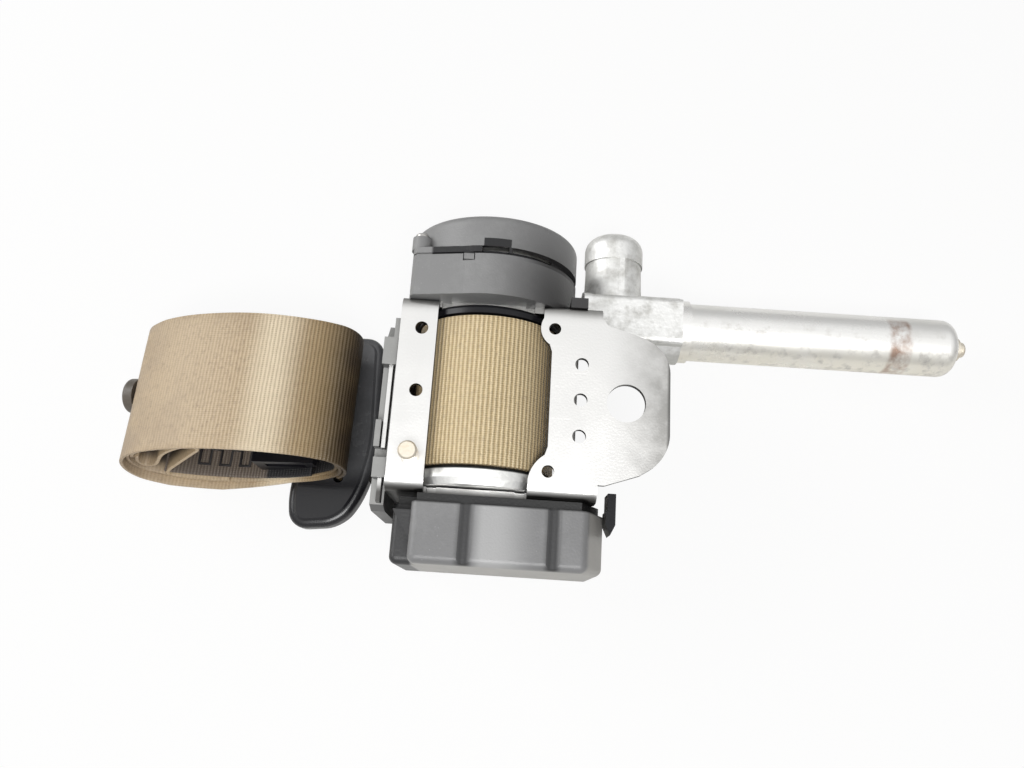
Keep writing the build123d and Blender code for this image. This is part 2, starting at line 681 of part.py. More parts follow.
# Piston with two seal grooves
seal_places = (PISTON_START + 3.0, PISTON_START + 7.0)
with BuildPart() as piston:
    with BuildSketch(tube_at(PISTON_START)):
        Circle(PISTON_R)
    extrude(amount=PISTON_LENGTH)
    chamfer(piston.edges().group_by(Axis.X)[-1], 1.0)
    for place in seal_places:
        with BuildSketch(tube_at(place)):
            Circle(PISTON_R)
            Circle(PISTON_R - 1.5, mode=Mode.SUBTRACT)
        extrude(amount=1.6, mode=Mode.SUBTRACT)
    with BuildSketch(tube_at(PISTON_START)):
        Circle(CABLE_R)
    extrude(amount=8, mode=Mode.SUBTRACT)
save(piston, "piston")

with BuildPart() as piston_seals:
    for place in seal_places:
        with BuildSketch(tube_at(place)):
            Circle(PISTON_R + 0.08)
            Circle(PISTON_R - 1.5, mode=Mode.SUBTRACT)
        extrude(amount=1.6)
save(piston_seals, "piston_seals")

# Straight run of the cable, swaged into the piston
cable_start = SPOOL_X + 11.0
pull_cable = turned(tube_at(cable_start), CABLE_R, PISTON_START + 8 - cable_start)
save(pull_cable, "pull_cable")

# Trigger cap: domed end of the stub
with BuildPart() as trigger_cap:
    with BuildSketch(stub_at(STUB_SEAM)):
        Circle(TUBE_R + 0.35)
    extrude(amount=STUB_LENGTH - STUB_SEAM)
    cap_top = trigger_cap.edges().filter_by(GeomType.CIRCLE).sort_by(Axis.Y)[-1]
    fillet(cap_top, 5.4)
    with BuildSketch(stub_at(STUB_SEAM)):
        Circle(STUB_BORE_R)
    extrude(amount=STUB_BORE_END - STUB_SEAM, mode=Mode.SUBTRACT)
save(trigger_cap, "trigger_cap")

# Gas generator: the charge that drives the piston, at the foot of the stub
gas_generator = turned(stub_at(BORE_R + 0.9), STUB_BORE_R, 7.0)
save(gas_generator, "gas_generator")

# Trigger mass with its firing pin, free to slide towards the generator
mass_start = BORE_R + 13.4
with BuildPart() as trigger_mass:
    with BuildSketch(stub_at(mass_start)):
        Circle(STUB_BORE_R - FIT)
    extrude(amount=8.0)
    with BuildSketch(stub_at(mass_start)):
        Circle(3.0)
    with BuildSketch(stub_at(mass_start - 2.6)):
        Circle(0.6)
    loft()
    with BuildSketch(stub_at(mass_start + 4.0)):
        Circle(5.4)
    extrude(amount=4.0, mode=Mode.SUBTRACT)
save(trigger_mass, "trigger_mass")

# Trigger spring, as the ring of its first coil against the cap
trigger_spring = turned(stub_at(mass_start + 4.0), 5.0, STUB_BORE_END - mass_start - 4.0, 3.8)
save(trigger_spring, "trigger_spring")

# Webbing guide on the left edge: a moulded funnel that the belt leaves through
with BuildPart() as webbing_guide:
    with BuildSketch(Plane.YZ.offset(GUIDE_LEFT)):
        Polygon((-36, GUIDE_TOP - 5), (-34.5, GUIDE_TOP), (18, GUIDE_TOP), (25, GUIDE_TOP - 6), (25, -51), (-36, -51),
                align=None)
        with Locations((SPOOL_SHIFT, TAIL_Z)):
            Rectangle(WEB_WIDTH + 3, 5.0, mode=Mode.SUBTRACT)
    extrude(amount=FRAME_LEFT - GUIDE_LEFT)
    # Blocks that stand up beside the wear strips, and the post at the top
    with BuildSketch(Plane.XY.offset(GUIDE_TOP - 4)):
        with Locations((-74.6, 13.8)):
            Rectangle(4.4, 9.0)
        with Locations((-75.9, -13.0)):
            Rectangle(1.8, 8.4)
        with Locations((-74.4, -23.6)):
            Rectangle(4.0, 6.2)
        with Locations((-73.0, 21.4)):
            Rectangle(1.6, 6.8)
    extrude(amount=8.5)
    # Room for the lock cover's left side
    with BuildSketch(Plane.XY.offset(-60)):
        with Locations((FRAME_LEFT, -34)):
            Rectangle(2.0, 7.6)
    extrude(amount=60, mode=Mode.SUBTRACT)
    # Slots that the wear strips stand in
    with BuildSketch(Plane.XY.offset(-18)):
        with Locations((STRIP_X, -4.0)):
            Rectangle(1.6, 26.6)
        with Locations((STRIP_X, -30.4)):
            Rectangle(1.6, 7.2)
    extrude(amount=14, mode=Mode.SUBTRACT)
save(webbing_guide, "webbing_guide")

# Plated wear strips standing in the guide's slots
with BuildPart() as wear_strip:
    with BuildSketch(Plane.XY.offset(-18)):
        with Locations((STRIP_X, -4.0)):
            Rectangle(1.2, 26.6)
        with Locations((STRIP_X, -30.4)):
            Rectangle(1.2, 7.2)
    extrude(amount=11)
save(wear_strip, "wear_strip")

# Hook clip that holds the lock cover's right side to the frame
with BuildPart() as cover_clip:
    with BuildSketch(Plane.XY.offset(-16)):
        Polygon((-3.9, -27.0), (-1.4, -27.0), (-1.4, -36.5), (-2.9, -39.6), (-4.4, -36.5), (-4.4, -32.4),
                (-3.9, -32.4), align=None)
    extrude(amount=9)
save(cover_clip, "cover_clip")


def bundle_at(y):
    """Plane across the leaning bundle at y along its own axis, with local x along its length."""
    place = Location((BUNDLE_X, BUNDLE_Y, BUNDLE_Z), (-BUNDLE_LEAN, -BUNDLE_ROLL, 0))
    return Plane(place * Location((0, y, 0), (90, 0, 0)))


def oval(inset=0.0, rise=0.0, mode=Mode.ADD):
    """The bundle's section as four tangent arcs, moved in by `inset` all round and up by `rise`."""
    long_r = BUNDLE_HALF_LENGTH - BUNDLE_END_R
    side_r = (long_r ** 2 + BUNDLE_HALF_HEIGHT ** 2 - BUNDLE_END_R ** 2) / 2 / (BUNDLE_HALF_HEIGHT - BUNDLE_END_R)
    side_y = side_r - BUNDLE_HALF_HEIGHT
    reach = math.degrees(math.atan2(side_y, long_r))
    with BuildLine() as outline:
        for turn in (0, 180):
            sign = 1 - turn / 90
            CenterArc((sign * long_r, rise), BUNDLE_END_R - inset, turn - reach, 2 * reach)
            CenterArc((0, rise - sign * side_y), side_r - inset, turn + reach, 180 - 2 * reach)
    make_face(outline.edges(), mode=mode)


# Belt from the roll, out through the guide, under the ring's bar and up through its slot to the bundle
slot_x = RING_AT[0]
with BuildPart() as webbing_tail:
    with BuildSketch(across(SPOOL_SHIFT + WEB_WIDTH / 2)):
        with BuildLine():
            FilletPolyline((SPOOL_X, TAIL_Z), (-78.2, TAIL_Z), (-79.6, -51.3), (slot_x, -51.3),
                           (slot_x, -31.0), radius=1.5)
        trace(line_width=WEB_T)
    extrude(amount=WEB_WIDTH)
    with BuildSketch(bundle_at(WEB_WIDTH)):
        oval()
    extrude(amount=2 * WEB_WIDTH, mode=Mode.SUBTRACT)
save(webbing_tail, "webbing_tail")

# Rolled webbing: the outer turns as one closed oval, pressed flat where the stop button sits
left_end = Plane(bundle_at(0).location * Location((-BUTTON_SEAT, 0, 0), (0, -90, 0)))
with BuildPart() as webbing_bundle:
    with BuildSketch(bundle_at(WEB_WIDTH / 2)):
        oval()
        oval(BUNDLE_WALL, mode=Mode.SUBTRACT)
    extrude(amount=WEB_WIDTH)
    with BuildSketch(left_end):
        Circle(BUTTON_R)
    extrude(amount=BUTTON_T, mode=Mode.SUBTRACT)
save(webbing_bundle, "webbing_bundle")

# Stop button riveted through the outer turn on the left
with BuildPart() as stop_button:
    with BuildSketch(left_end):
        Circle(BUTTON_R)
    extrude(amount=BUTTON_T)
    fillet(stop_button.edges().sort_by(Axis.X)[0], 1.2)
save(stop_button, "stop_button")

# Sewn end of the belt: two layers that lie on the bundle's lower inside
with BuildPart() as webbing_end:
    with BuildSketch(bundle_at(WEB_WIDTH / 2 - 0.5)):
        oval(BUNDLE_WALL)
        oval(BUNDLE_WALL, END_FOLD_T, mode=Mode.SUBTRACT)
        with Locations((-1.0, -10.0)):
            Rectangle(54.0, 14.0, mode=Mode.INTERSECT)
    extrude(amount=WEB_WIDTH - 1)
save(webbing_end, "webbing_end")

# Anchor cover, a plastic shoe over the end loop, with the anchor plate's slot in it
cover_middle = (COVER_SPAN[0] + COVER_SPAN[1]) / 2
with BuildPart() as anchor_cover:
    with BuildSketch(bundle_at(8)):
        with Locations((cover_middle, COVER_RISE - 7.0)):
            Rectangle(COVER_SPAN[1] - COVER_SPAN[0], 14.0)
        oval(BUNDLE_WALL, END_FOLD_T, mode=Mode.INTERSECT)
        with Locations((cover_middle, COVER_RISE - 4.0)):
            Rectangle(14, 3.0, mode=Mode.SUBTRACT)
    extrude(amount=30)
save(anchor_cover, "anchor_cover")

# Anchor plate: the belt's lower end fitting
with BuildPart() as anchor_plate:
    with BuildSketch(bundle_at(8)):
        with Locations((cover_middle, COVER_RISE - 4.0)):
            Rectangle(14, 3.0)
    extrude(amount=29)
save(anchor_plate, "anchor_plate")


def ring_at(height):
    """Plane of the shoulder guide ring, which lies a little higher on its right."""
    place = Location(RING_AT, (0, -RING_LEAN, 0))
    return Plane(place).offset(height)


def ring_plate_outline():
    """Outline of the steel plate, from its bolt hole to its seat in the moulding."""
    with Locations(RING_PLATE_AT):
        Circle(RING_PLATE_R)
    Polygon((RING_PLATE_AT[0], RING_PLATE_AT[1] + RING_PLATE_R), (-104.0, RING_PLATE_AT[1] + RING_PLATE_R - 4),
            (-99.0, -8.0), (-99.0, -26.0), (-104.0, -27.0), (RING_PLATE_AT[0], RING_PLATE_AT[1] - RING_PLATE_R),
            align=None)


# Shoulder guide ring: moulded ring with a rounded rim and a long slot for the belt
with BuildPart() as guide_ring:
    with BuildSketch(ring_at(0)) as ring_outline:
        Polygon((-6, 33.2), (10.8, 33.2), (12.8, -6), (9.6, -24), (2.5, -35.5), (-15.5, -37.5), (-17.6, -24),
                (-14, -8), (-9, 4), align=None)
        fillet(ring_outline.vertices(), 5.5)
        with Locations((0, SPOOL_SHIFT - RING_AT[1])):
            SlotOverall(WEB_WIDTH + 3, 3.6, rotation=90, mode=Mode.SUBTRACT)
    extrude(amount=RING_T)
    fillet(guide_ring.edges().group_by(Axis.Z)[-1], 2.0)
    with BuildSketch(Plane.XY.offset(FLOOR_Z + 0.2)):
        ring_plate_outline()
    extrude(amount=RING_PLATE_T, mode=Mode.SUBTRACT)
save(guide_ring, "guide_ring")

# Steel plate moulded into the ring, with the hole for the pillar bolt
with BuildPart() as ring_plate:
    with BuildSketch(Plane.XY.offset(FLOOR_Z + 0.2)):
        ring_plate_outline()
        with Locations(RING_PLATE_AT):
            Circle(RING_HOLE_R, mode=Mode.SUBTRACT)
    extrude(amount=RING_PLATE_T)
save(ring_plate, "ring_plate")
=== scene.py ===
"""Looks of the seat-belt retractor: metals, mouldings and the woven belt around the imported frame."""
import math

import bmesh
import bpy
from mathutils import Matrix, Vector, noise


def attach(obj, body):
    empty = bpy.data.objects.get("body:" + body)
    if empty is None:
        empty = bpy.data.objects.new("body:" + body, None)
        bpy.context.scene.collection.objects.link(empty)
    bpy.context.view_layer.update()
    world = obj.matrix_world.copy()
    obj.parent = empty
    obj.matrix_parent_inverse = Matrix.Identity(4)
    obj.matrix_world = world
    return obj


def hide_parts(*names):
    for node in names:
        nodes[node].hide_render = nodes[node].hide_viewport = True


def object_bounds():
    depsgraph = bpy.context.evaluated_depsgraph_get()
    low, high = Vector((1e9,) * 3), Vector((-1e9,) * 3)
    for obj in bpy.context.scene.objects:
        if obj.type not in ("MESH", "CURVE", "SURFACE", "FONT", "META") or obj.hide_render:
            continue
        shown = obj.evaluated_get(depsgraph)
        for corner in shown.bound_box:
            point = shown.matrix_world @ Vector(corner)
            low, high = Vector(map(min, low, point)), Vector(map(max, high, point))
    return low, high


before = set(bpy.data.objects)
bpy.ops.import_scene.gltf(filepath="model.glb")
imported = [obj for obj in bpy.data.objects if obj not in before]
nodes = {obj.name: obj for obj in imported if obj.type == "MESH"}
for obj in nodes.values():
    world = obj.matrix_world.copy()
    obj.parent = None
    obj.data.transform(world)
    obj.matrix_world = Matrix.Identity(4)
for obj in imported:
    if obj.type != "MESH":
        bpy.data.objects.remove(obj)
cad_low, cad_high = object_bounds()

# Camera: a little in front of the part and above its left half, so the tube falls away to the right.
# Its lens covers an image 1024 pixels wide at 850 pixels to the unit of depth.
MM = 0.001
CAMERA_AT = (-35.4 * MM, -66.1 * MM, 252.0 * MM)
CAMERA_TILT = math.radians(15.5)
CAMERA_ROLL = math.radians(3.7)
FOCAL_PIXELS = 850.0
IMAGE_WIDTH = 1024
SENSOR_WIDTH = 36.0
NEAREST_SEEN = 0.01


def placed(name, data):
    """A new object in the scene that holds the data."""
    made = bpy.data.objects.new(name, data)
    bpy.context.scene.collection.objects.link(made)
    return made


camera = placed("camera", bpy.data.cameras.new("camera"))
camera.data.sensor_width = SENSOR_WIDTH
camera.data.lens = SENSOR_WIDTH * FOCAL_PIXELS / IMAGE_WIDTH
camera.data.clip_start = NEAREST_SEEN
camera.matrix_world = (Matrix.Translation(CAMERA_AT) @ Matrix.Rotation(CAMERA_TILT, 4, "X")
                       @ Matrix.Rotation(CAMERA_ROLL, 4, "Z"))
bpy.context.scene.camera = camera
bpy.context.scene.view_settings.view_transform = "Standard"

# Light: a white ceiling whose brightness falls away to grey walls, which the metal mirrors, one broad
# lamp above the camera, which shades the rolls, and a lower window on the left.
ROOM_LIGHT = 0.24
WALL_TONE = 0.55
WALL_TOP = 0.25
CEILING_FROM = 0.93
WHITE = (1, 1, 1, 1)
LAMPS_AIM = Vector((-0.04, 0.0, -0.03))


def add(tree, kind, inputs=None, **settings):
    """A node with its settings, and with each named input set to a value or fed by a socket."""
    made = tree.nodes.new(kind)
    for name, value in settings.items():
        setattr(made, name, value)
    for name, value in (inputs or {}).items():
        if isinstance(value, bpy.types.NodeSocket):
            tree.links.new(value, made.inputs[name])
        else:
            made.inputs[name].default_value = value
    return made


def reckon(tree, operation, *terms):
    """The result of one operation on sockets and numbers."""
    return add(tree, "ShaderNodeMath", dict(enumerate(terms)), operation=operation).outputs[0]


def spread(tree, value, low=0.0, high=1.0, start=0.0, end=1.0, smooth=False):
    """A value that runs from low to high, turned into one that runs from start to end."""
    return add(tree, "ShaderNodeMapRange",
               {"Value": value, "From Min": low, "From Max": high, "To Min": start, "To Max": end},
               interpolation_type="SMOOTHSTEP" if smooth else "LINEAR").outputs[0]


def fade(tree, amount, first, second):
    """A number that goes from the first to the second by an amount from 0 to 1."""
    return add(tree, "ShaderNodeMix", {0: amount, 2: first, 3: second}).outputs[0]


def soft_lamp(name, at, size, watts):
    """A square lamp that faces the part."""
    made = placed(name, bpy.data.lights.new(name, "AREA"))
    made.data.shape = "SQUARE"
    made.data.size = size
    made.data.energy = watts
    made.location = at
    made.rotation_euler = (LAMPS_AIM - made.location).to_track_quat("-Z", "Y").to_euler()


room = bpy.data.worlds.new("room")
bpy.context.scene.world = room
room.use_nodes = True
room_tree = room.node_tree
room_tree.nodes.clear()
rays = add(room_tree, "ShaderNodeLightPath").outputs
upwards = add(room_tree, "ShaderNodeTexCoord").outputs["Generated"]
heading = add(room_tree, "ShaderNodeSeparateXYZ", {0: upwards})
ceiling = spread(room_tree, heading.outputs["Z"], WALL_TOP, CEILING_FROM, start=WALL_TONE, smooth=True)
lit = fade(room_tree, rays["Is Glossy Ray"], ROOM_LIGHT, ceiling)
seen = reckon(room_tree, "MAXIMUM", rays["Is Camera Ray"], rays["Is Transmission Ray"])
sky = add(room_tree, "ShaderNodeBackground", {"Color": WHITE, "Strength": fade(room_tree, seen, lit, 1.0)})
add(room_tree, "ShaderNodeOutputWorld", {"Surface": sky.outputs[0]})
soft_lamp("overhead_lamp", at=(0.02, -0.42, 0.90), size=0.45, watts=6.8)
soft_lamp("window_left", at=(-0.80, 0.25, 0.42), size=0.5, watts=3.6)

# Table: a plain white sheet of paper under the part, which keeps the part's soft shadow.
# To the camera alone it glows, so that it shows almost white.
TABLE_SIZE = 6.0
TABLE_GAP = 0.2 * MM
TABLE_LIFT = 0.90
PAPER = (0.86, 0.855, 0.84, 1)


def piece(name, form, material):
    """An object made from a finished form, in its material."""
    mesh = bpy.data.meshes.new(name)
    form.to_mesh(mesh)
    form.free()
    mesh.materials.append(material)
    return placed(name, mesh)


white = bpy.data.materials.new("white_paper")
white.use_nodes = True
paper_tree = white.node_tree
paper_tree.nodes.clear()
rays = add(paper_tree, "ShaderNodeLightPath").outputs
matt = add(paper_tree, "ShaderNodeBsdfDiffuse", {"Color": PAPER})
glow = add(paper_tree, "ShaderNodeEmission", {"Color": WHITE, "Strength": 1.0})
lift = reckon(paper_tree, "MULTIPLY", rays["Is Camera Ray"], TABLE_LIFT)
sheet_of_paper = add(paper_tree, "ShaderNodeMixShader", {0: lift, 1: matt.outputs[0], 2: glow.outputs[0]})
add(paper_tree, "ShaderNodeOutputMaterial", {"Surface": sheet_of_paper.outputs[0]})
paper = bmesh.new()
bmesh.ops.create_grid(paper, x_segments=1, y_segments=1, size=TABLE_SIZE / 2)
bmesh.ops.translate(paper, verts=paper.verts, vec=(0, 0, cad_low.z - TABLE_GAP))
piece("table", paper, white)


def blend(tree, amount, under, over):
    """One colour laid over another by an amount from 0 to 1."""
    return add(tree, "ShaderNodeMix", {0: amount, 6: under, 7: over}, data_type="RGBA").outputs[2]


def mottle(tree, at, scale, detail, roughness=0.5):
    """Soft clouds of noise."""
    return add(tree, "ShaderNodeTexNoise",
               {"Vector": at, "Scale": scale, "Detail": detail, "Roughness": roughness}).outputs[0]


def group(name, inputs):
    """Start a shader group that puts out a colour, a roughness and a normal; returns its tree and inputs."""
    tree = bpy.data.node_groups.new(name, "ShaderNodeTree")
    kinds = {float: "NodeSocketFloat", tuple: "NodeSocketColor"}
    for label, value in inputs.items():
        socket = tree.interface.new_socket(label, in_out="INPUT", socket_type=kinds[type(value)])
        socket.default_value = value
    for label, kind in (("Color", "NodeSocketColor"), ("Roughness", "NodeSocketFloat"),
                        ("Normal", "NodeSocketVector")):
        tree.interface.new_socket(label, in_out="OUTPUT", socket_type=kind)
    return tree, tree.nodes.new("NodeGroupInput").outputs


def put_out(tree, color, roughness, height, depth, distance):
    """End a shader group with what it puts out; its normal is the surface raised by the height."""
    raised = add(tree, "ShaderNodeBump", {"Strength": depth, "Distance": distance, "Height": height})
    add(tree, "NodeGroupOutput", {"Color": color, "Roughness": roughness, "Normal": raised.outputs[0]})


def finish(name, effect, values, roughness=None, metallic=0.0, **sockets):
    """A material whose colour, roughness and normal come from an effect group with its own values."""
    made = bpy.data.materials.new(name)
    made.use_nodes = True
    tree = made.node_tree
    shader = tree.nodes["Principled BSDF"]
    worked = add(tree, "ShaderNodeGroup", node_tree=effect)
    for label, value in values.items():
        worked.inputs[label].default_value = value
    tree.links.new(worked.outputs["Color"], shader.inputs["Base Color"])
    tree.links.new(worked.outputs["Normal"], shader.inputs["Normal"])
    if roughness is None:
        tree.links.new(worked.outputs["Roughness"], shader.inputs["Roughness"])
    else:
        shader.inputs["Roughness"].default_value = roughness
    shader.inputs["Metallic"].default_value = metallic
    for label, value in sockets.items():
        shader.inputs[label.replace("_", " ")].default_value = value
    return made


def rising(axis, start, end, by="Object"):
    """A mask that rises from 0 to 1 between two places along an axis, in millimetres."""
    def mask(tree):
        split = add(tree, "ShaderNodeSeparateXYZ", {0: add(tree, "ShaderNodeTexCoord").outputs[by]})
        return spread(tree, split.outputs[axis], start * MM, end * MM, smooth=True)
    return mask


def side_on(upright=0.9, lying=0.4):
    """A mask that is 0 where the surface lies flat, facing up, and 1 where it stands on edge."""
    def mask(tree):
        facing = add(tree, "ShaderNodeSeparateXYZ", {0: add(tree, "ShaderNodeTexCoord").outputs["Normal"]})
        return spread(tree, facing.outputs["Z"], upright, lying, smooth=True)
    return mask


def cloudy(scale, low, high, floor=0.0):
    """A mask of soft clouds, of a given scale, no lower than the floor."""
    def mask(tree):
        here = add(tree, "ShaderNodeTexCoord").outputs["Object"]
        clouds = mottle(tree, here, scale, detail=5.0, roughness=0.6)
        return spread(tree, clouds, low, high, start=floor)
    return mask


def joined(operation, *masks):
    """Masks put together, by MULTIPLY for where all are high or by MAXIMUM for where any is."""
    def mask(tree):
        result = masks[0](tree)
        for other in masks[1:]:
            result = reckon(tree, operation, result, other(tree))
        return result
    return mask


def tint(material, color, *masks):
    """Lay a second colour over the material's own where all the masks are high."""
    tree = material.node_tree
    base = tree.nodes["Principled BSDF"].inputs["Base Color"]
    mixed = blend(tree, joined("MULTIPLY", *masks)(tree), base.links[0].from_socket, color)
    tree.links.new(mixed, base)


def dress(material, *names):
    """Give carried-over nodes their material."""
    for name in names:
        node = nodes[name]
        node.data.materials.clear()
        node.data.materials.append(material)


# The finish of every metal: plating that has dulled in blotches, with a fine grain and a few hairline
# scratches, which lie one way. Each metal gives it its own colours and sizes.
SCRATCH_TURN = (0.3, 0.2, 0.6)
SCRATCH_SCALE = (40, 900, 300)
SCRATCH_COLOR = (0.9, 0.9, 0.88, 1)
SCRATCH_CUT = -0.6
DULL_ROUGHNESS = 0.35
METAL_RELIEF = 0.3 * MM
handled_metal, given = group("handled_metal", {
    "Color": (0.8, 0.8, 0.78, 1.0), "Dull Color": (0.5, 0.5, 0.48, 1.0), "Blotch Scale": 60.0,
    "Dullness": 0.4, "Grain Scale": 900.0, "Grain Depth": 0.2, "Scratches": 0.3, "Gloss": 0.3})
here = add(handled_metal, "ShaderNodeTexCoord").outputs["Object"]
blotches = mottle(handled_metal, here, given["Blotch Scale"], detail=6.0, roughness=0.62)
patches = spread(handled_metal, blotches, low=0.42, high=0.68)
dulled = reckon(handled_metal, "MULTIPLY", patches, given["Dullness"])
grain = mottle(handled_metal, here, given["Grain Scale"], detail=3.0)
drawn_out = add(handled_metal, "ShaderNodeMapping",
                {"Vector": here, "Rotation": SCRATCH_TURN, "Scale": SCRATCH_SCALE})
hairlines = mottle(handled_metal, drawn_out.outputs[0], scale=1.0, detail=1.0)
marks = spread(handled_metal, hairlines, low=0.66, high=0.74)
scratched = reckon(handled_metal, "MULTIPLY", marks, given["Scratches"])
tone = blend(handled_metal, dulled, given["Color"], given["Dull Color"])
put_out(handled_metal, blend(handled_metal, scratched, tone, SCRATCH_COLOR),
        roughness=reckon(handled_metal, "MULTIPLY_ADD", dulled, DULL_ROUGHNESS, given["Gloss"]),
        height=reckon(handled_metal, "MULTIPLY_ADD", scratched, SCRATCH_CUT, grain),
        depth=given["Grain Depth"], distance=METAL_RELIEF)

# The frame's own plating carries a painted shade that deepens towards the ear's right end and along its upper
# edge, broken into clouds of dull plating. Its lower bend, its ear's right end and whatever stands on edge,
# as its cut edges and the walls under its face do, are painted darker as shade.
SHADED_ZINC = (0.36, 0.355, 0.34, 1)
LOWER_BEND_SHADE = (0.10, 0.098, 0.094, 1)
WALL_SHADE = (0.055, 0.054, 0.052, 1)
EDGE_SHADE = (0.075, 0.073, 0.07, 1)
EAR_END_SHADE = (0.16, 0.158, 0.152, 1)
plated_sheet = finish("plated_sheet", handled_metal,
                      {"Color": (0.83, 0.825, 0.81, 1), "Dull Color": (0.62, 0.615, 0.60, 1),
                       "Blotch Scale": 45.0, "Dullness": 0.5, "Grain Scale": 1500.0, "Grain Depth": 0.15,
                       "Scratches": 0.25, "Gloss": 0.30}, metallic=1.0)
ear_shade = joined("MULTIPLY", rising("X", -8, 15), cloudy(120.0, 0.35, 0.6, floor=0.55))
upper_edge_shade = joined("MULTIPLY", rising("Y", 24.5, 31), cloudy(90.0, 0.3, 0.6, floor=0.6))
lower_bend_shade = joined("MULTIPLY", rising("Y", -26.5, -31.2), rising("X", -7.0, -9.0))
below_face = rising("Z", -0.6, -2.8)
ear_end_shade = rising("X", 12.2, 13.2)
# Painted shade towards the ear's right end and along the upper edge, in clouds of dull plating.
tint(plated_sheet, SHADED_ZINC, joined("MAXIMUM", ear_shade, upper_edge_shade))
# Painted shade in the lower bend.
tint(plated_sheet, LOWER_BEND_SHADE, lower_bend_shade)
# Painted shade on the walls under the face and on every surface that stands on edge.
tint(plated_sheet, WALL_SHADE, below_face, side_on())
tint(plated_sheet, EDGE_SHADE, side_on())
# Painted shade at the ear's right end.
tint(plated_sheet, EAR_END_SHADE, ear_end_shade)
dress(plated_sheet, "retractor_frame", "tie_bar", "wear_strip", "anchor_plate")

# Locating stud and tube nipple: turned steel with a yellow passivated plating.
# The stud is riveted into the frame; the nipple is pressed into the tube's end.
passivated = finish("passivated_steel", handled_metal,
                    {"Color": (0.84, 0.79, 0.69, 1), "Dull Color": (0.52, 0.42, 0.28, 1),
                     "Blotch Scale": 160.0, "Dullness": 0.5, "Gloss": 0.3}, metallic=1.0)
dress(passivated, "locating_stud", "tube_nipple")

# Piston tube and crimp ring: drawn steel tube, zinc plated, rubbed bright along its length and stained near
# its end. Its underside carries a painted cream reflection of the table, and grey specks on its lower half
# are partly grain and partly painted shade. The ring is rolled down where the tube enters the union; the
# cable is plated wire.
TABLE_REFLECTION_CREAM = (0.93, 0.90, 0.81, 1)
STAIN_BROWN = (0.42, 0.30, 0.24, 1)
LOWER_SPECKS_AND_SHADE = (0.62, 0.60, 0.56, 1)
TUBE_STAIN_X = (96.6, 102.8)
STAIN_FADES = (1.5, 0.5)
plated_tube = finish("plated_tube", handled_metal,
                     {"Color": (0.93, 0.925, 0.905, 1), "Dull Color": (0.74, 0.735, 0.70, 1),
                      "Blotch Scale": 35.0, "Dullness": 0.45, "Grain Scale": 1200.0, "Grain Depth": 0.12,
                      "Scratches": 0.2, "Gloss": 0.26}, metallic=1.0)
underside_reflection = rising("Y", 35.5, 28.5)
lower_half = rising("Y", 43.0, 33.0)
below_top = rising("Y", 46.0, 42.0)
stain_left = rising("X", TUBE_STAIN_X[0] - STAIN_FADES[0], TUBE_STAIN_X[0] + STAIN_FADES[1])
stain_right = rising("X", TUBE_STAIN_X[1] + STAIN_FADES[0], TUBE_STAIN_X[1] - STAIN_FADES[1])
# Painted cream reflection of the white table on the tube's underside.
tint(plated_tube, TABLE_REFLECTION_CREAM, underside_reflection, cloudy(80.0, 0.3, 0.6, floor=0.5))
tint(plated_tube, STAIN_BROWN, stain_left, stain_right, cloudy(160.0, 0.36, 0.62), below_top)
# Grey specks, partly grain and partly painted shade, darken only the lower half.
tint(plated_tube, LOWER_SPECKS_AND_SHADE, cloudy(240.0, 0.52, 0.72), lower_half)
dress(plated_tube, "piston_tube", "crimp_ring", "pull_cable", "cable_wrap")

# Union block, trigger cap and the spool's lower flange: die-cast alloy, as cast, with a cloudy skin.
# The drum, pulley and piston inside are the same alloy. The flange's step beside the roll carries a painted
# shadow, and the union's upright sides a painted shade.
FLANGE_SHADOW = (0.02, 0.02, 0.02, 1)
CAST_STAIN = (0.56, 0.555, 0.53, 1)
CAST_SIDE_SHADE = (0.66, 0.66, 0.64, 1)
cast_alloy = finish("cast_alloy", handled_metal,
                    {"Color": (0.88, 0.88, 0.865, 1), "Dull Color": (0.58, 0.58, 0.56, 1),
                     "Blotch Scale": 110.0, "Dullness": 0.7, "Grain Scale": 700.0, "Grain Depth": 0.45,
                     "Scratches": 0.1, "Gloss": 0.42}, metallic=1.0)
flange_shadow_band = joined("MULTIPLY", rising("Y", -23.9, -23.4), rising("Y", -20, -21))
on_union = rising("Y", 20, 26)
# Painted shadow on the flange's step beside the roll.
tint(cast_alloy, FLANGE_SHADOW, flange_shadow_band)
tint(cast_alloy, CAST_STAIN, cloudy(210.0, 0.46, 0.70), on_union)
# Painted shade on the union's sides, where they stand on edge.
tint(cast_alloy, CAST_SIDE_SHADE, side_on(upright=0.62, lying=0.12), on_union)
dress(cast_alloy, "union_block", "trigger_cap", "spool_flange_lower", "spool_drum", "cable_pulley", "piston")

# Turned and hardened steel: shaft, hub, rollers, ratchet, pawl, screws and springs, and the plate that
# is moulded into the guide ring. These are machined or blanked, with an oiled, darker surface.
oiled_steel = finish("oiled_steel", handled_metal,
                     {"Color": (0.52, 0.51, 0.49, 1), "Dull Color": (0.30, 0.29, 0.27, 1),
                      "Blotch Scale": 90.0, "Gloss": 0.3}, metallic=1.0)
dress(oiled_steel, "ring_plate", "spool_shaft", "clutch_hub", "clutch_rollers", "lock_ratchet", "lock_pawl",
      "pawl_pin", "union_screws", "cover_screw", "sensor_ball", "trigger_mass", "gas_generator",
      "return_spring", "trigger_spring")

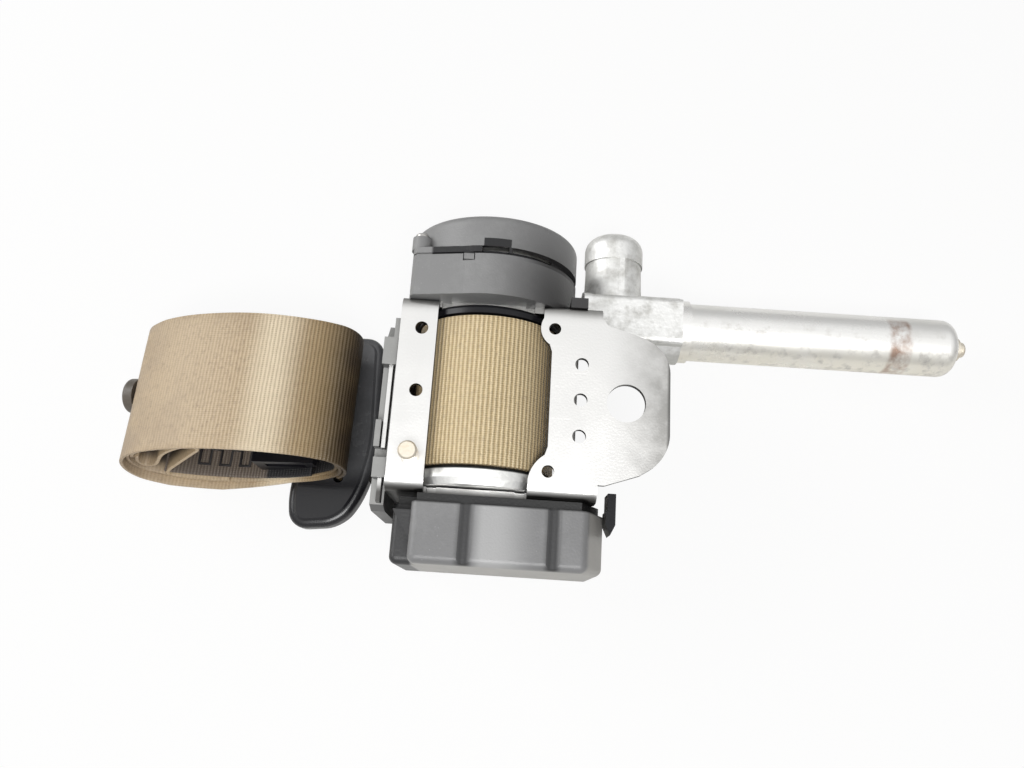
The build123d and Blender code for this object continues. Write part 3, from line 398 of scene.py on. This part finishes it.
# Pretensioner base and spring cover: glass-filled nylon, moulded in a spark-eroded tool. The cover's
# deep lip latches to the base by a tab, beside a small window, and a screw holds it.
#
# The finish of every moulding: an eroded mould leaves an even fine grain; handling leaves pale rubs and
# dust. Each plastic gives it its own colours and sizes.
DUST_SCALE = 420.0
DUST_SIZE = (0.10, 0.06)
DUST_PALENESS = 0.35
RUB_ROUGHNESS = 0.3
PLASTIC_RELIEF = 0.2 * MM
moulded, given = group("moulded_plastic", {
    "Color": (0.1, 0.1, 0.1, 1.0), "Rub Color": (0.3, 0.3, 0.3, 1.0), "Rub Scale": 120.0, "Rubs": 0.3,
    "Grain Scale": 1600.0, "Grain Depth": 0.25, "Gloss": 0.45})
here = add(moulded, "ShaderNodeTexCoord").outputs["Object"]
clouds = mottle(moulded, here, given["Rub Scale"], detail=8.0, roughness=0.7)
rubs = reckon(moulded, "MULTIPLY", spread(moulded, clouds, low=0.5, high=0.75), given["Rubs"])
specks = add(moulded, "ShaderNodeTexVoronoi", {"Vector": here, "Scale": DUST_SCALE, "Randomness": 1.0})
dust = spread(moulded, specks.outputs["Distance"], *DUST_SIZE, end=DUST_PALENESS)
paled = reckon(moulded, "MAXIMUM", rubs, dust)
put_out(moulded, blend(moulded, paled, given["Color"], given["Rub Color"]),
        roughness=reckon(moulded, "MULTIPLY_ADD", rubs, RUB_ROUGHNESS, given["Gloss"]),
        height=mottle(moulded, here, given["Grain Scale"], detail=2.0),
        depth=given["Grain Depth"], distance=PLASTIC_RELIEF)

# The two housings carry painted shade: black in the lip's groove and in the latch window, and dark on the
# right.
LIP_GROOVE_SHADE = (0.006, 0.006, 0.007, 1)
WINDOW_SHADE = (0.004, 0.004, 0.005, 1)
SHADED_NYLON = (0.035, 0.034, 0.034, 1)
WINDOW_X = (-46.9, -38.4)
WINDOW_Y = (46.9, 49.6)
WINDOW_SOFT = 0.2
black_nylon = finish("black_nylon", moulded,
                     {"Color": (0.24, 0.24, 0.24, 1), "Rub Color": (0.38, 0.38, 0.375, 1), "Rub Scale": 90.0,
                      "Rubs": 0.35, "Grain Scale": 1500.0, "Grain Depth": 0.35, "Gloss": 0.42})
above_base = rising("Y", 44.35, 44.45)
above_base_right = rising("Y", 43.2, 43.5)
under_lip = rising("Y", 47.1, 47.0)
right_of_boss = rising("X", -64.0, -63.0)
right_end = rising("X", -36.0, -24.0)
latch_window = joined("MULTIPLY", rising("X", WINDOW_X[0] - WINDOW_SOFT, WINDOW_X[0]),
                      rising("X", WINDOW_X[1] + WINDOW_SOFT, WINDOW_X[1]),
                      rising("Y", WINDOW_Y[0], WINDOW_Y[0] + WINDOW_SOFT),
                      rising("Y", WINDOW_Y[1] + WINDOW_SOFT, WINDOW_Y[1]))
shaded_side = joined("MULTIPLY", rising("X", -48, -21), rising("Y", 66.0, 32.0))
# Painted shade, black, in the groove under the lip.
tint(black_nylon, LIP_GROOVE_SHADE, above_base, under_lip, right_of_boss)
tint(black_nylon, LIP_GROOVE_SHADE, above_base_right, under_lip, right_end)
# Painted shade, black, in the latch window.
tint(black_nylon, WINDOW_SHADE, latch_window)
# Painted shade on the housings' right side.
tint(black_nylon, SHADED_NYLON, shaded_side)
dress(black_nylon, "pretensioner_base", "spring_cover")

# Upper spool flange, anchor cover, cover clip and spring plate: deep black plastic with a tighter skin.
# The clip hooks the lock cover's right side to the frame; the anchor cover is a shoe over its plate.
jet_black = finish("jet_black_plastic", moulded,
                   {"Color": (0.006, 0.006, 0.008, 1), "Rub Color": (0.05, 0.05, 0.055, 1), "Rubs": 0.1,
                    "Gloss": 0.30}, Specular_IOR_Level=0.3)
dress(jet_black, "cover_clip", "spool_flange_upper", "anchor_cover", "spring_plate")

# Lock cover: one deep moulding in dark grey nylon with two flutes down its front, clipped over the locking
# side. Its middle carries a painted highlight; its flutes, its left flange and its upper rim carry painted
# shade; its lower strip is paler.
MIDDLE_HIGHLIGHT = (0.42, 0.42, 0.42, 1)
FLUTE_SHADE = (0.03, 0.03, 0.031, 1)
LEFT_FLANGE_SHADE = (0.030, 0.030, 0.031, 1)
RIM_SHADOW = (0.003, 0.003, 0.003, 1)
PALE_STRIP = (0.36, 0.35, 0.33, 1)
FLUTES_X = (-46.5, -20.2)
FLUTE_HALF = 0.6
FLUTE_FADES = (3.6, 3.0)
lock_grey = finish("dark_grey_nylon", moulded,
                   {"Color": (0.21, 0.21, 0.212, 1), "Rub Color": (0.40, 0.40, 0.40, 1), "Rub Scale": 70.0,
                    "Rubs": 0.3, "Grain Scale": 1300.0, "Grain Depth": 0.35, "Gloss": 0.4})
middle = joined("MULTIPLY", rising("X", -45.0, -41.0), rising("X", -24.0, -38.0))
front_face = rising("Z", -4.5, -2.5)
left_flange_shade = rising("X", -62.6, -63.6)
upper_rim = rising("Y", -34.2, -33.4)
lower_strip = joined("MULTIPLY", rising("Z", -2.2, -5.0), rising("X", -63.0, -62.4),
                     rising("Y", -33.2, -34.4))
# Painted highlight across the cover's middle.
tint(lock_grey, MIDDLE_HIGHLIGHT, middle)
# Painted shade in each flute.
for flute in FLUTES_X:
    tint(lock_grey, FLUTE_SHADE, rising("X", flute - FLUTE_FADES[0], flute - FLUTE_HALF),
         rising("X", flute + FLUTE_FADES[1], flute + FLUTE_HALF), front_face)
# Painted shade on the left flange.
tint(lock_grey, LEFT_FLANGE_SHADE, left_flange_shade)
# Painted shadow, black, along the upper rim.
tint(lock_grey, RIM_SHADOW, upper_rim)
# Paler on the strip below the front face.
tint(lock_grey, PALE_STRIP, lower_strip)
dress(lock_grey, "lock_cover")

# Webbing guide: a pale grey acetal funnel on the frame's left edge, which the belt slides through. The
# bushes, arbor, lock gear and sensor pieces inside are natural acetal; the piston's seals are rubber.
GUIDE_SIDE_SHADE = (0.09, 0.09, 0.09, 1)
pale_acetal = finish("pale_grey_acetal", moulded,
                     {"Color": (0.36, 0.36, 0.35, 1), "Rub Color": (0.52, 0.52, 0.5, 1), "Rubs": 0.3,
                      "Gloss": 0.4})
# Painted shade on the guide's sides, where it stands on edge.
tint(pale_acetal, GUIDE_SIDE_SHADE, side_on(lying=0.3))
dress(pale_acetal, "webbing_guide")
natural_acetal = finish("natural_acetal", moulded,
                        {"Color": (0.70, 0.69, 0.65, 1), "Rub Color": (0.6, 0.58, 0.5, 1), "Rubs": 0.2})
dress(natural_acetal, "shaft_bush_spring_side", "shaft_bush_lock_side", "spring_arbor", "lock_gear",
      "sensor_housing", "sensor_lever")
seal_rubber = finish("seal_rubber", moulded, {"Color": (0.02, 0.02, 0.02, 1), "Rubs": 0.05})
dress(seal_rubber, "piston_seals")

# Guide ring: dark plastic moulded over a steel plate, with a full round rim and a long slot for the belt,
# which has polished the rim. The lobe at its front end is painted deep black, as shade in a recess.
LOBE_SHADE = (0.010, 0.010, 0.012, 1)
RING_OUTLINE = [(-6, 33.2), (10.8, 33.2), (12.8, -6), (9.6, -24), (2.5, -35.5), (-15.5, -37.5), (-17.6, -24),
                (-14, -8), (-9, 4)]
RING_AT = (-93.6 * MM, -3.0 * MM, -50.6 * MM)
RING_LEAN = math.radians(-2.0)
RING_T = 6.4 * MM
RING_CORNER = 6.0 * MM
RIM_R = 2.3 * MM
ROUNDING_STEPS = 7
FIELD_INSET = 0.8 * MM
FIELD_DROP = 0.7 * MM
SLOT_HALF = 23.2 * MM
SLOT_R = 1.8 * MM
SLOT_Y = 4.2 * MM
SLOT_STEPS = 28
MANY_CORNERS = 12
CREASE = math.radians(32)
HAIR = 1e-6
ring_plastic = finish("ring_plastic", moulded,
                      {"Color": (0.085, 0.086, 0.09, 1), "Rub Color": (0.2, 0.2, 0.205, 1), "Rub Scale": 60.0,
                       "Rubs": 0.3, "Grain Scale": 1500.0, "Grain Depth": 0.12, "Gloss": 0.24})
# Painted shade, deep black, on the lobe.
tint(ring_plastic, LOBE_SHADE, rising("Y", -16, -26))


def loop_at(form, height):
    """The ring's edges that lie at one height."""
    return [e for e in form.edges if all(abs(v.co.z - height) < HAIR for v in e.verts)]


def slot_loop(form, height):
    """The slot's outline at one height, two half circles drawn apart."""
    made = bmesh.ops.create_circle(form, cap_ends=False, radius=SLOT_R, segments=SLOT_STEPS)["verts"]
    for v in made:
        v.co += Vector((0, SLOT_Y + math.copysign(SLOT_HALF, v.co.y), height))
    return [e for e in form.edges if all(v in made for v in e.verts)]


form = bmesh.new()
form.faces.new([form.verts.new((x * MM, y * MM, 0)) for x, y in RING_OUTLINE])
bmesh.ops.bevel(form, geom=list(form.verts), offset=RING_CORNER, offset_type="OFFSET",
                segments=ROUNDING_STEPS, profile=0.5, affect="VERTICES", material=-1)
lifted = bmesh.ops.extrude_face_region(form, geom=list(form.faces))["geom"]
bmesh.ops.translate(form, verts=[v for v in lifted if isinstance(v, bmesh.types.BMVert)], vec=(0, 0, RING_T))
bmesh.ops.bevel(form, geom=loop_at(form, RING_T), offset=RIM_R, offset_type="OFFSET",
                segments=ROUNDING_STEPS, profile=0.5, affect="EDGES", material=-1)
top_face = max((f for f in form.faces if abs(f.calc_center_median().z - RING_T) < HAIR),
               key=lambda f: f.calc_area())
bmesh.ops.inset_region(form, faces=[top_face], thickness=FIELD_INSET, depth=-FIELD_DROP)
field_z = top_face.calc_center_median().z
# The field and the underside, the only faces with many corners, are opened and made anew round the slot.
flat_faces = [f for f in form.faces if len(f.verts) > MANY_CORNERS]
bmesh.ops.delete(form, geom=flat_faces, context="FACES_ONLY")
field_edges = [e for e in loop_at(form, field_z) if e.is_boundary]
under_edges = [e for e in loop_at(form, 0.0) if e.is_boundary]
slot_top = slot_loop(form, field_z)
slot_under = slot_loop(form, 0.0)
bmesh.ops.bridge_loops(form, edges=field_edges + slot_top)
bmesh.ops.bridge_loops(form, edges=under_edges + slot_under)
bmesh.ops.bridge_loops(form, edges=slot_top + slot_under)
bmesh.ops.recalc_face_normals(form, faces=form.faces)
for face in form.faces:
    face.smooth = True
for edge in form.edges:
    edge.smooth = len(edge.link_faces) == 2 and edge.calc_face_angle() < CREASE
bmesh.ops.transform(form, matrix=Matrix.Translation(RING_AT) @ Matrix.Rotation(RING_LEAN, 4, "Y"),
                    verts=form.verts)
ring = piece("ring_moulding", form, ring_plastic)
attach(ring, "frame")
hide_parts("guide_ring")

# Stop button: a two-part plastic stud riveted through the belt, so that nothing slides down past it.
# It is moulded in a brown close to the belt's own.
button_brown = finish("button_brown", moulded,
                      {"Color": (0.10, 0.085, 0.07, 1), "Rub Color": (0.24, 0.21, 0.18, 1), "Rubs": 0.3,
                       "Gloss": 0.4})
dress(button_brown, "stop_button")

# Webbing roll: nine turns of the belt wound on the drum, seen through the frame's window. The belt is tan
# polyester, woven 47 mm wide, and leaves the roll underneath, towards the guide. Its sides carry a painted
# shade, darker than its crown.
BELT_WIDTH = 47.0 * MM
BELT_T = 1.1 * MM
BELT_STEPS = 16
SELVAGE_R = 0.3 * MM
SELVAGE_STEPS = 2
SELVAGE_ANGLE = math.radians(50)

# The belt's weave: cross ribs over fine yarns, soiled where it is handled. The pattern follows the belt
# by its UV map, U across the width and V along the length, in metres.
RIB_WOBBLE = 0.3 * MM
YARN_SHARE = 0.35
FUZZ_SHARE = 0.6
WEAVE_RELIEF = 0.35 * MM
belt_weave, given = group("belt_weave", {
    "Color": (0.60, 0.47, 0.30, 1.0), "Groove Color": (0.30, 0.21, 0.12, 1.0),
    "Soil Color": (0.20, 0.14, 0.09, 1.0), "Soil": 0.35, "Rib Pitch": 0.0012, "Yarn Pitch": 0.0007,
    "Ribs Seen": 1.0, "Depth": 0.6, "Speckle": 0.3})
cloth_uv = add(belt_weave, "ShaderNodeTexCoord").outputs["UV"]
axes = add(belt_weave, "ShaderNodeSeparateXYZ", {0: cloth_uv}).outputs


def wave(along, pitch):
    """A smooth ridge, 0 to 1, that repeats at the pitch."""
    angle = reckon(belt_weave, "MULTIPLY", reckon(belt_weave, "DIVIDE", along, pitch), math.tau)
    return reckon(belt_weave, "MULTIPLY_ADD", reckon(belt_weave, "SINE", angle), 0.5, 0.5)


wobble = mottle(belt_weave, cloth_uv, scale=260.0, detail=2.0)
shaken = reckon(belt_weave, "MULTIPLY_ADD", wobble, RIB_WOBBLE, axes["Y"])
ribs = wave(shaken, given["Rib Pitch"])
yarns = wave(axes["X"], given["Yarn Pitch"])
woven = reckon(belt_weave, "MULTIPLY_ADD", yarns, YARN_SHARE, ribs)
fuzz = mottle(belt_weave, cloth_uv, scale=1500.0, detail=2.0)
fluffy = reckon(belt_weave, "MULTIPLY_ADD", fuzz, FUZZ_SHARE, woven)
evened = fade(belt_weave, given["Ribs Seen"], 1.0, fluffy)
shown = spread(belt_weave, evened, low=0.3, high=1.45)
cloth = blend(belt_weave, shown, given["Groove Color"], given["Color"])
smears = mottle(belt_weave, cloth_uv, scale=32.0, detail=7.0, roughness=0.65)
soil = reckon(belt_weave, "MULTIPLY", spread(belt_weave, smears, low=0.48, high=0.74), given["Soil"])
worn = blend(belt_weave, soil, cloth, given["Soil Color"])
flecks = mottle(belt_weave, cloth_uv, scale=620.0, detail=3.0, roughness=0.7)
dotted = reckon(belt_weave, "MULTIPLY", spread(belt_weave, flecks, low=0.5, high=0.72), given["Speckle"])
put_out(belt_weave, blend(belt_weave, dotted, worn, given["Soil Color"]),
        roughness=spread(belt_weave, shown, start=0.62, end=0.40),
        height=evened, depth=given["Depth"], distance=WEAVE_RELIEF)


def belt(name, material, route, place, shift=None):
    """A strip of webbing: the route's edge, drawn out across the width and then given its thickness.

    The route is in metres in X and Z, from its start to its end. `shift` moves a point by its place
    across the width, 0 to 1, and its distance along the route.
    """
    form = bmesh.new()
    line = [form.verts.new((x, BELT_WIDTH / 2, z)) for x, z in route]
    row = [form.edges.new(pair) for pair in zip(line, line[1:])]
    along = [0.0]
    for (x0, z0), (x1, z1) in zip(route, route[1:]):
        along.append(along[-1] + math.hypot(x1 - x0, z1 - z0))
    columns = [line]
    for _ in range(BELT_STEPS):
        drawn = bmesh.ops.extrude_edge_only(form, edges=row)["geom"]
        fresh = [v for v in drawn if isinstance(v, bmesh.types.BMVert)]
        bmesh.ops.translate(form, verts=fresh, vec=(0, -BELT_WIDTH / BELT_STEPS, 0))
        row = [e for e in drawn if isinstance(e, bmesh.types.BMEdge)]
        columns.append(fresh)
    uv = form.loops.layers.uv.new("belt")
    spot = {}
    for across, column in enumerate(columns):
        for v, reach in zip(column, along):
            spot[v] = (across / BELT_STEPS * BELT_WIDTH, reach)
    for face in form.faces:
        face.smooth = True
        for loop in face.loops:
            loop[uv].uv = spot[loop.vert]
    if shift:
        for v, (across, reach) in spot.items():
            v.co += Vector(shift(across / BELT_WIDTH, reach, v.co))
    bmesh.ops.transform(form, matrix=place, verts=form.verts)
    strip = piece(name, form, material)
    body = strip.modifiers.new("thickness", "SOLIDIFY")
    body.thickness = BELT_T
    body.offset = 0.0
    selvage = strip.modifiers.new("selvage", "BEVEL")
    selvage.width = SELVAGE_R
    selvage.segments = SELVAGE_STEPS
    selvage.limit_method = "ANGLE"
    selvage.angle_limit = SELVAGE_ANGLE
    return strip, along[-1]


# The roll winds outwards from the drum in one spiral.
ROLL_SIDE_SHADE = (0.34, 0.245, 0.12, 1)
SPOOL_AT = (-44.0 * MM, -20.0 * MM)
SPOOL_SHIFT = Matrix.Translation((0, 1.2 * MM, 0))
ROLL_TURNS = 9
ROLL_INNER = 12.7 * MM
ROLL_OUTER = 23.2 * MM
STEPS_PER_TURN = 72
ROLL_WANDER = 0.35 * MM
WANDER_RATE = 14


def wander(across, reach, at):
    """The turns lie a little to one side or the other."""
    return (0, ROLL_WANDER * noise.noise((reach * WANDER_RATE, 3.0, 0)), 0)


roll_cloth = finish("roll_webbing", belt_weave,
                    {"Color": (0.80, 0.645, 0.385, 1), "Groove Color": (0.37, 0.255, 0.105, 1), "Soil": 0.25,
                     "Rib Pitch": 0.0014, "Depth": 0.75}, Sheen_Weight=0.1, Specular_IOR_Level=1.0)
# Painted shade on the roll's sides, where they turn away from the light.
tint(roll_cloth, ROLL_SIDE_SHADE, side_on(upright=0.94, lying=0.45))
roll_steps = ROLL_TURNS * STEPS_PER_TURN
roll_route = []
for step in range(roll_steps + 1):
    part = step / roll_steps
    angle = math.radians(-90 + 360 * ROLL_TURNS * (1 - part))
    radius = ROLL_INNER + (ROLL_OUTER - ROLL_INNER) * part
    roll_route.append((SPOOL_AT[0] + radius * math.cos(angle), SPOOL_AT[1] + radius * math.sin(angle)))
webbing_roll, roll_length = belt("belt_on_spool", roll_cloth, roll_route, SPOOL_SHIFT, wander)
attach(webbing_roll, "spool")
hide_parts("webbing_roll")

# Rolled belt: from the guide ring's slot up and round in two and a half loose turns laid flat, whose last
# half turn has crumpled into the hollow. It is worn smooth on the left; towards the right end it darkens,
# partly with grime and partly with painted shade where it turns away from the light.
BUNDLE_AT = (-126.0 * MM, 1.0 * MM, -29.5 * MM)
BUNDLE_LEAN = math.radians(-6.0)
BUNDLE_ROLL = math.radians(-8.0)
OVAL_LENGTH = 39.0 * MM
OVAL_HEIGHT = 18.5 * MM
OVAL_END_R = 11.0 * MM
TURNS_HEADING = (-58.0, 880.0)
TURNS_INSET = (0.6 * MM, 4.4 * MM)
FLAT_STEP = 1.5
END_STEP = 6.0
CRUMPLE = [(-31.6, 3.6), (-33.2, 0.0), (-31.5, -3.0), (-27.5, -1.6), (-22.0, 5.2), (-15.0, 9.6), (-9.2, 10.8),
           (-8.0, 9.2), (-12.0, 5.6), (-19.0, -0.5), (-24.5, -5.4), (-26.0, -8.2), (-24.0, -9.9),
           (-16.0, -11.4), (-6.0, -12.6)]
FIRST_TURN = 172.0
HOLLOW_FROM = FIRST_TURN + 30
THROAT_FROM = FIRST_TURN + 40
BOTTOM_SPREAD = 4.6 * MM
TOP_SPREAD = 2.2 * MM
SPREAD_GROWS = 60 * MM
EDGE_RIPPLE = 0.4 * MM
EDGE_RIPPLE_RATE = 22
FACE_RIPPLE = 0.3 * MM
FACE_RIPPLE_RATES = (60, 1.5, 3)

# The bundle's colours, from its worn left end to its darker right one, partly grime and partly painted shade;
# the hollow's inner turns and throat are painted dark as shade, and a pale band across the top is a painted
# highlight. STAIN_AT is the stain's middle.
SMOOTHEST_RIBS = 0.34
OCHRE = (0.30, 0.205, 0.092, 1)
GRIME_AND_SHADE = (0.040, 0.026, 0.014, 1)
GREY_SIDE = (0.30, 0.23, 0.165, 1)
HOLLOW_SHADE = (0.045, 0.034, 0.026, 1)
THROAT_SHADE = (0.010, 0.009, 0.009, 1)
BELT_STAIN = (0.12, 0.085, 0.06, 1)
HIGHLIGHT_BAND = (0.74, 0.62, 0.44, 1)
STAIN_AT = (-113.0, -14.0)
STAIN_REACH = (2.6, 4)
bundle_cloth = finish("bundle_webbing", belt_weave,
                      {"Color": (0.60, 0.475, 0.315, 1), "Groove Color": (0.32, 0.22, 0.12, 1),
                       "Soil Color": (0.26, 0.185, 0.12, 1), "Soil": 0.6, "Speckle": 0.6, "Rib Pitch": 0.0012,
                       "Depth": 0.5}, Specular_IOR_Level=0.6)
ribbed = rising("X", -128, -112)(bundle_cloth.node_tree)
ribs_seen = spread(bundle_cloth.node_tree, ribbed, start=SMOOTHEST_RIBS)
for worked in bundle_cloth.node_tree.nodes:
    if worked.type == "GROUP":
        bundle_cloth.node_tree.links.new(ribs_seen, worked.inputs["Ribs Seen"])
inner_face = joined("MULTIPLY", rising("Y", FIRST_TURN, HOLLOW_FROM, by="UV"),
                    rising("X", 46.4, 41.0, by="UV"))
throat = joined("MULTIPLY", rising("Y", HOLLOW_FROM, THROAT_FROM, by="UV"),
                rising("X", 46.9, 46.2, by="UV"), rising("X", -112, -106))
round_stain = [rising(axis, at + side * reach, at)
               for axis, at, reach in zip("XY", STAIN_AT, STAIN_REACH) for side in (-1, 1)]
highlight_band = joined("MULTIPLY", rising("X", -124, -114), rising("X", -102, -112))
# Partly grime, partly painted shade: the right end deepens to ochre and then near black.
tint(bundle_cloth, OCHRE, rising("X", -114, -94), cloudy(60.0, 0.2, 0.6, floor=0.7))
tint(bundle_cloth, GRIME_AND_SHADE, rising("X", -102, -87), cloudy(90.0, 0.2, 0.6, floor=0.75))
tint(bundle_cloth, GREY_SIDE, rising("X", -148, -166), cloudy(70.0, 0.35, 0.65))
# Painted shade on the inner turns inside the hollow.
tint(bundle_cloth, HOLLOW_SHADE, inner_face)
# Painted shade, black, in the hollow's throat.
tint(bundle_cloth, THROAT_SHADE, throat)
tint(bundle_cloth, BELT_STAIN, *round_stain)
# Painted highlight, in clouds, across the top of the bundle.
tint(bundle_cloth, HIGHLIGHT_BAND, highlight_band, cloudy(50.0, 0.2, 0.6, floor=0.6))

# The oval that it is rolled to: two small round ends and two wide flat arcs that run into them.
bundle_place = (Matrix.Translation(BUNDLE_AT) @ Matrix.Rotation(BUNDLE_LEAN, 4, "X")
                @ Matrix.Rotation(BUNDLE_ROLL, 4, "Y"))
long_reach = OVAL_LENGTH - OVAL_END_R
side_r = (long_reach ** 2 + OVAL_HEIGHT ** 2 - OVAL_END_R ** 2) / 2 / (OVAL_HEIGHT - OVAL_END_R)
side_drop = side_r - OVAL_HEIGHT
corner = math.degrees(math.atan2(side_drop, long_reach))


def oval_point(heading, inset):
    """The oval's point that faces this heading, in degrees, moved in by the inset."""
    turn = (heading + 180) % 360 - 180
    if abs(turn) <= corner:
        centre, radius = (long_reach, 0), OVAL_END_R
    elif abs(turn) >= 180 - corner:
        centre, radius = (-long_reach, 0), OVAL_END_R
    else:
        centre, radius = (0, -math.copysign(side_drop, turn)), side_r
    aim = math.radians(turn)
    return (centre[0] + (radius - inset) * math.cos(aim), centre[1] + (radius - inset) * math.sin(aim))


def turns(start, end, first_inset, last_inset):
    """The loose turns, from one heading to another, with closer points on the oval's long sides."""
    heading = start
    points = []
    while heading < end:
        part = (heading - start) / (end - start)
        points.append(oval_point(heading, first_inset + (last_inset - first_inset) * part))
        flat = corner < abs((heading + 180) % 360 - 180) < 180 - corner
        heading += FLAT_STEP if flat else END_STEP
    return points


def smooth_run(points, steps=7):
    """A flowing line through given points."""
    run = []
    held = [points[0]] + points + [points[-1]]
    for p0, p1, p2, p3 in zip(held, held[1:], held[2:], held[3:]):
        for step in range(steps):
            t = step / steps
            run.append(tuple(0.5 * (2 * b + (c - a) * t + (2 * a - 5 * b + 4 * c - d) * t * t
                                    + (3 * b - a - 3 * c + d) * t ** 3)
                             for a, b, c, d in zip(p0, p1, p2, p3)))
    return run + [points[-1]]


def within(low, value, high):
    """The value, held between two limits."""
    return min(high, max(low, value))


def telescope(across, reach, at):
    """The lower turns have slid out to the front, the outermost one furthest; the upper ones slid back."""
    # Three shares, 1 at the most: how low in the oval, how far to its left, and how far in along the belt
    low = within(0.0, 0.5 - at.z / (1.2 * OVAL_HEIGHT), 1.0)
    left = within(0.35, 0.75 - at.x / OVAL_LENGTH, 1.0)
    inner = within(0.0, (reach - FIRST_TURN * MM) / SPREAD_GROWS, 1.0)
    slide = TOP_SPREAD * inner * (1 - low) * across - BOTTOM_SPREAD * low * left * (1.0 - 0.5 * inner)
    x_rate, across_rate, reach_rate = FACE_RIPPLE_RATES
    return (0, slide + EDGE_RIPPLE * noise.noise((reach * EDGE_RIPPLE_RATE, 0.0, 5.0)),
            FACE_RIPPLE * noise.noise((at.x * x_rate, across * across_rate, reach * reach_rate)))


bundle_route = turns(*TURNS_HEADING, *TURNS_INSET) + smooth_run([(x * MM, z * MM) for x, z in CRUMPLE])
rolled_belt, bundle_length = belt("belt_rolled_up", bundle_cloth, bundle_route, bundle_place, telescope)
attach(rolled_belt, "frame")
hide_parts("webbing_bundle")

# Tail of the belt, between the roll on the spool and the ring's slot: it runs under the spool, through
# the guide, down beneath the ring's bar and up its slot.
TAIL = [(-44.0, -44.8), (-60.0, -44.8), (-76.4, -44.8), (-78.2, -45.6), (-78.9, -47.6), (-79.4, -50.0),
        (-80.8, -51.3), (-86.0, -51.3), (-91.9, -51.3), (-93.2, -50.8), (-93.6, -49.6), (-93.6, -44.0),
        (-93.3, -41.0), (-92.6, -38.6)]
tail_route = [(x * MM, z * MM) for x, z in TAIL]
tail, tail_length = belt("belt_tail", bundle_cloth, tail_route, SPOOL_SHIFT)
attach(tail, "frame")
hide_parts("webbing_tail")

# Sewn end of the belt: the last stretch folded back on itself and sewn with a heavy dark thread in a row of U
# shapes. It lies in the bundle, its loop round the anchor plate; its cloth is coloured dark all over as
# painted shade inside the hollow, darker still away from its near edge and black at its far end by the anchor
# cover.
END_SPAN = (-27.0, 25.0)
END_STEPS = 40
END_LIFT = 6.4 * MM
END_FORWARD = 1.2 * MM
END_SHADE = (0.03, 0.025, 0.02, 1)
LOOP_SHADE = (0.004, 0.004, 0.005, 1)
STITCH_FROM = -16.5
STITCH_STEP = 3.5
STITCHES = 9
STITCH_ROWS = (-19.6, -14.2)
THREAD_R = 0.55 * MM
THREAD_LIFT = 0.75 * MM
THREAD_STEPS = 3
end_cloth = finish("end_webbing", belt_weave,
                   {"Color": (0.17, 0.135, 0.105, 1), "Groove Color": (0.08, 0.062, 0.048, 1),
                    "Soil Color": (0.08, 0.065, 0.05, 1), "Soil": 0.5, "Rib Pitch": 0.0011, "Depth": 0.5})
tint(end_cloth, END_SHADE, rising("X", 38.0, 30.0, by="UV"))
# Painted shade, black, at the far end by the anchor cover.
tint(end_cloth, LOOP_SHADE, rising("Y", 34.5, 36.5, by="UV"))


def end_height(x):
    """Height of the sewn end above the bundle's own middle plane, at a place along it."""
    return END_LIFT - (math.sqrt(side_r ** 2 - x ** 2) - side_drop)


def slid(across, reach, at):
    """The sewn end stands a little out to the front, as the turns below it do."""
    return (0, -END_FORWARD, 0)


end_places = [(END_SPAN[0] + (END_SPAN[1] - END_SPAN[0]) * step / END_STEPS) * MM
              for step in range(END_STEPS + 1)]
sewn_end, end_length = belt("belt_sewn_end", end_cloth, [(x, end_height(x)) for x in end_places],
                            bundle_place, slid)

# The thread runs from row to row and back, one stitch at a time.
dark_thread = finish("dark_thread", moulded,
                     {"Color": (0.012, 0.010, 0.010, 1), "Rub Color": (0.04, 0.035, 0.03, 1)}, roughness=0.7)
seam_points = []
for count in range(STITCHES):
    x = (STITCH_FROM + STITCH_STEP * count) * MM
    for y in (STITCH_ROWS if count % 2 else STITCH_ROWS[::-1]):
        seam_points.append((x, y * MM - END_FORWARD, end_height(x) + THREAD_LIFT))
seam = bpy.data.curves.new("end_stitching", "CURVE")
seam.dimensions = "3D"
line = seam.splines.new("POLY")
line.points.add(len(seam_points) - 1)
for point, at in zip(line.points, seam_points):
    point.co = (*(bundle_place @ Vector(at)), 1)
seam.bevel_depth = THREAD_R
seam.bevel_resolution = THREAD_STEPS
seam.materials.append(dark_thread)
stitching = placed("end_stitching", seam)
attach(stitching, "frame")
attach(sewn_end, "frame")
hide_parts("webbing_end")
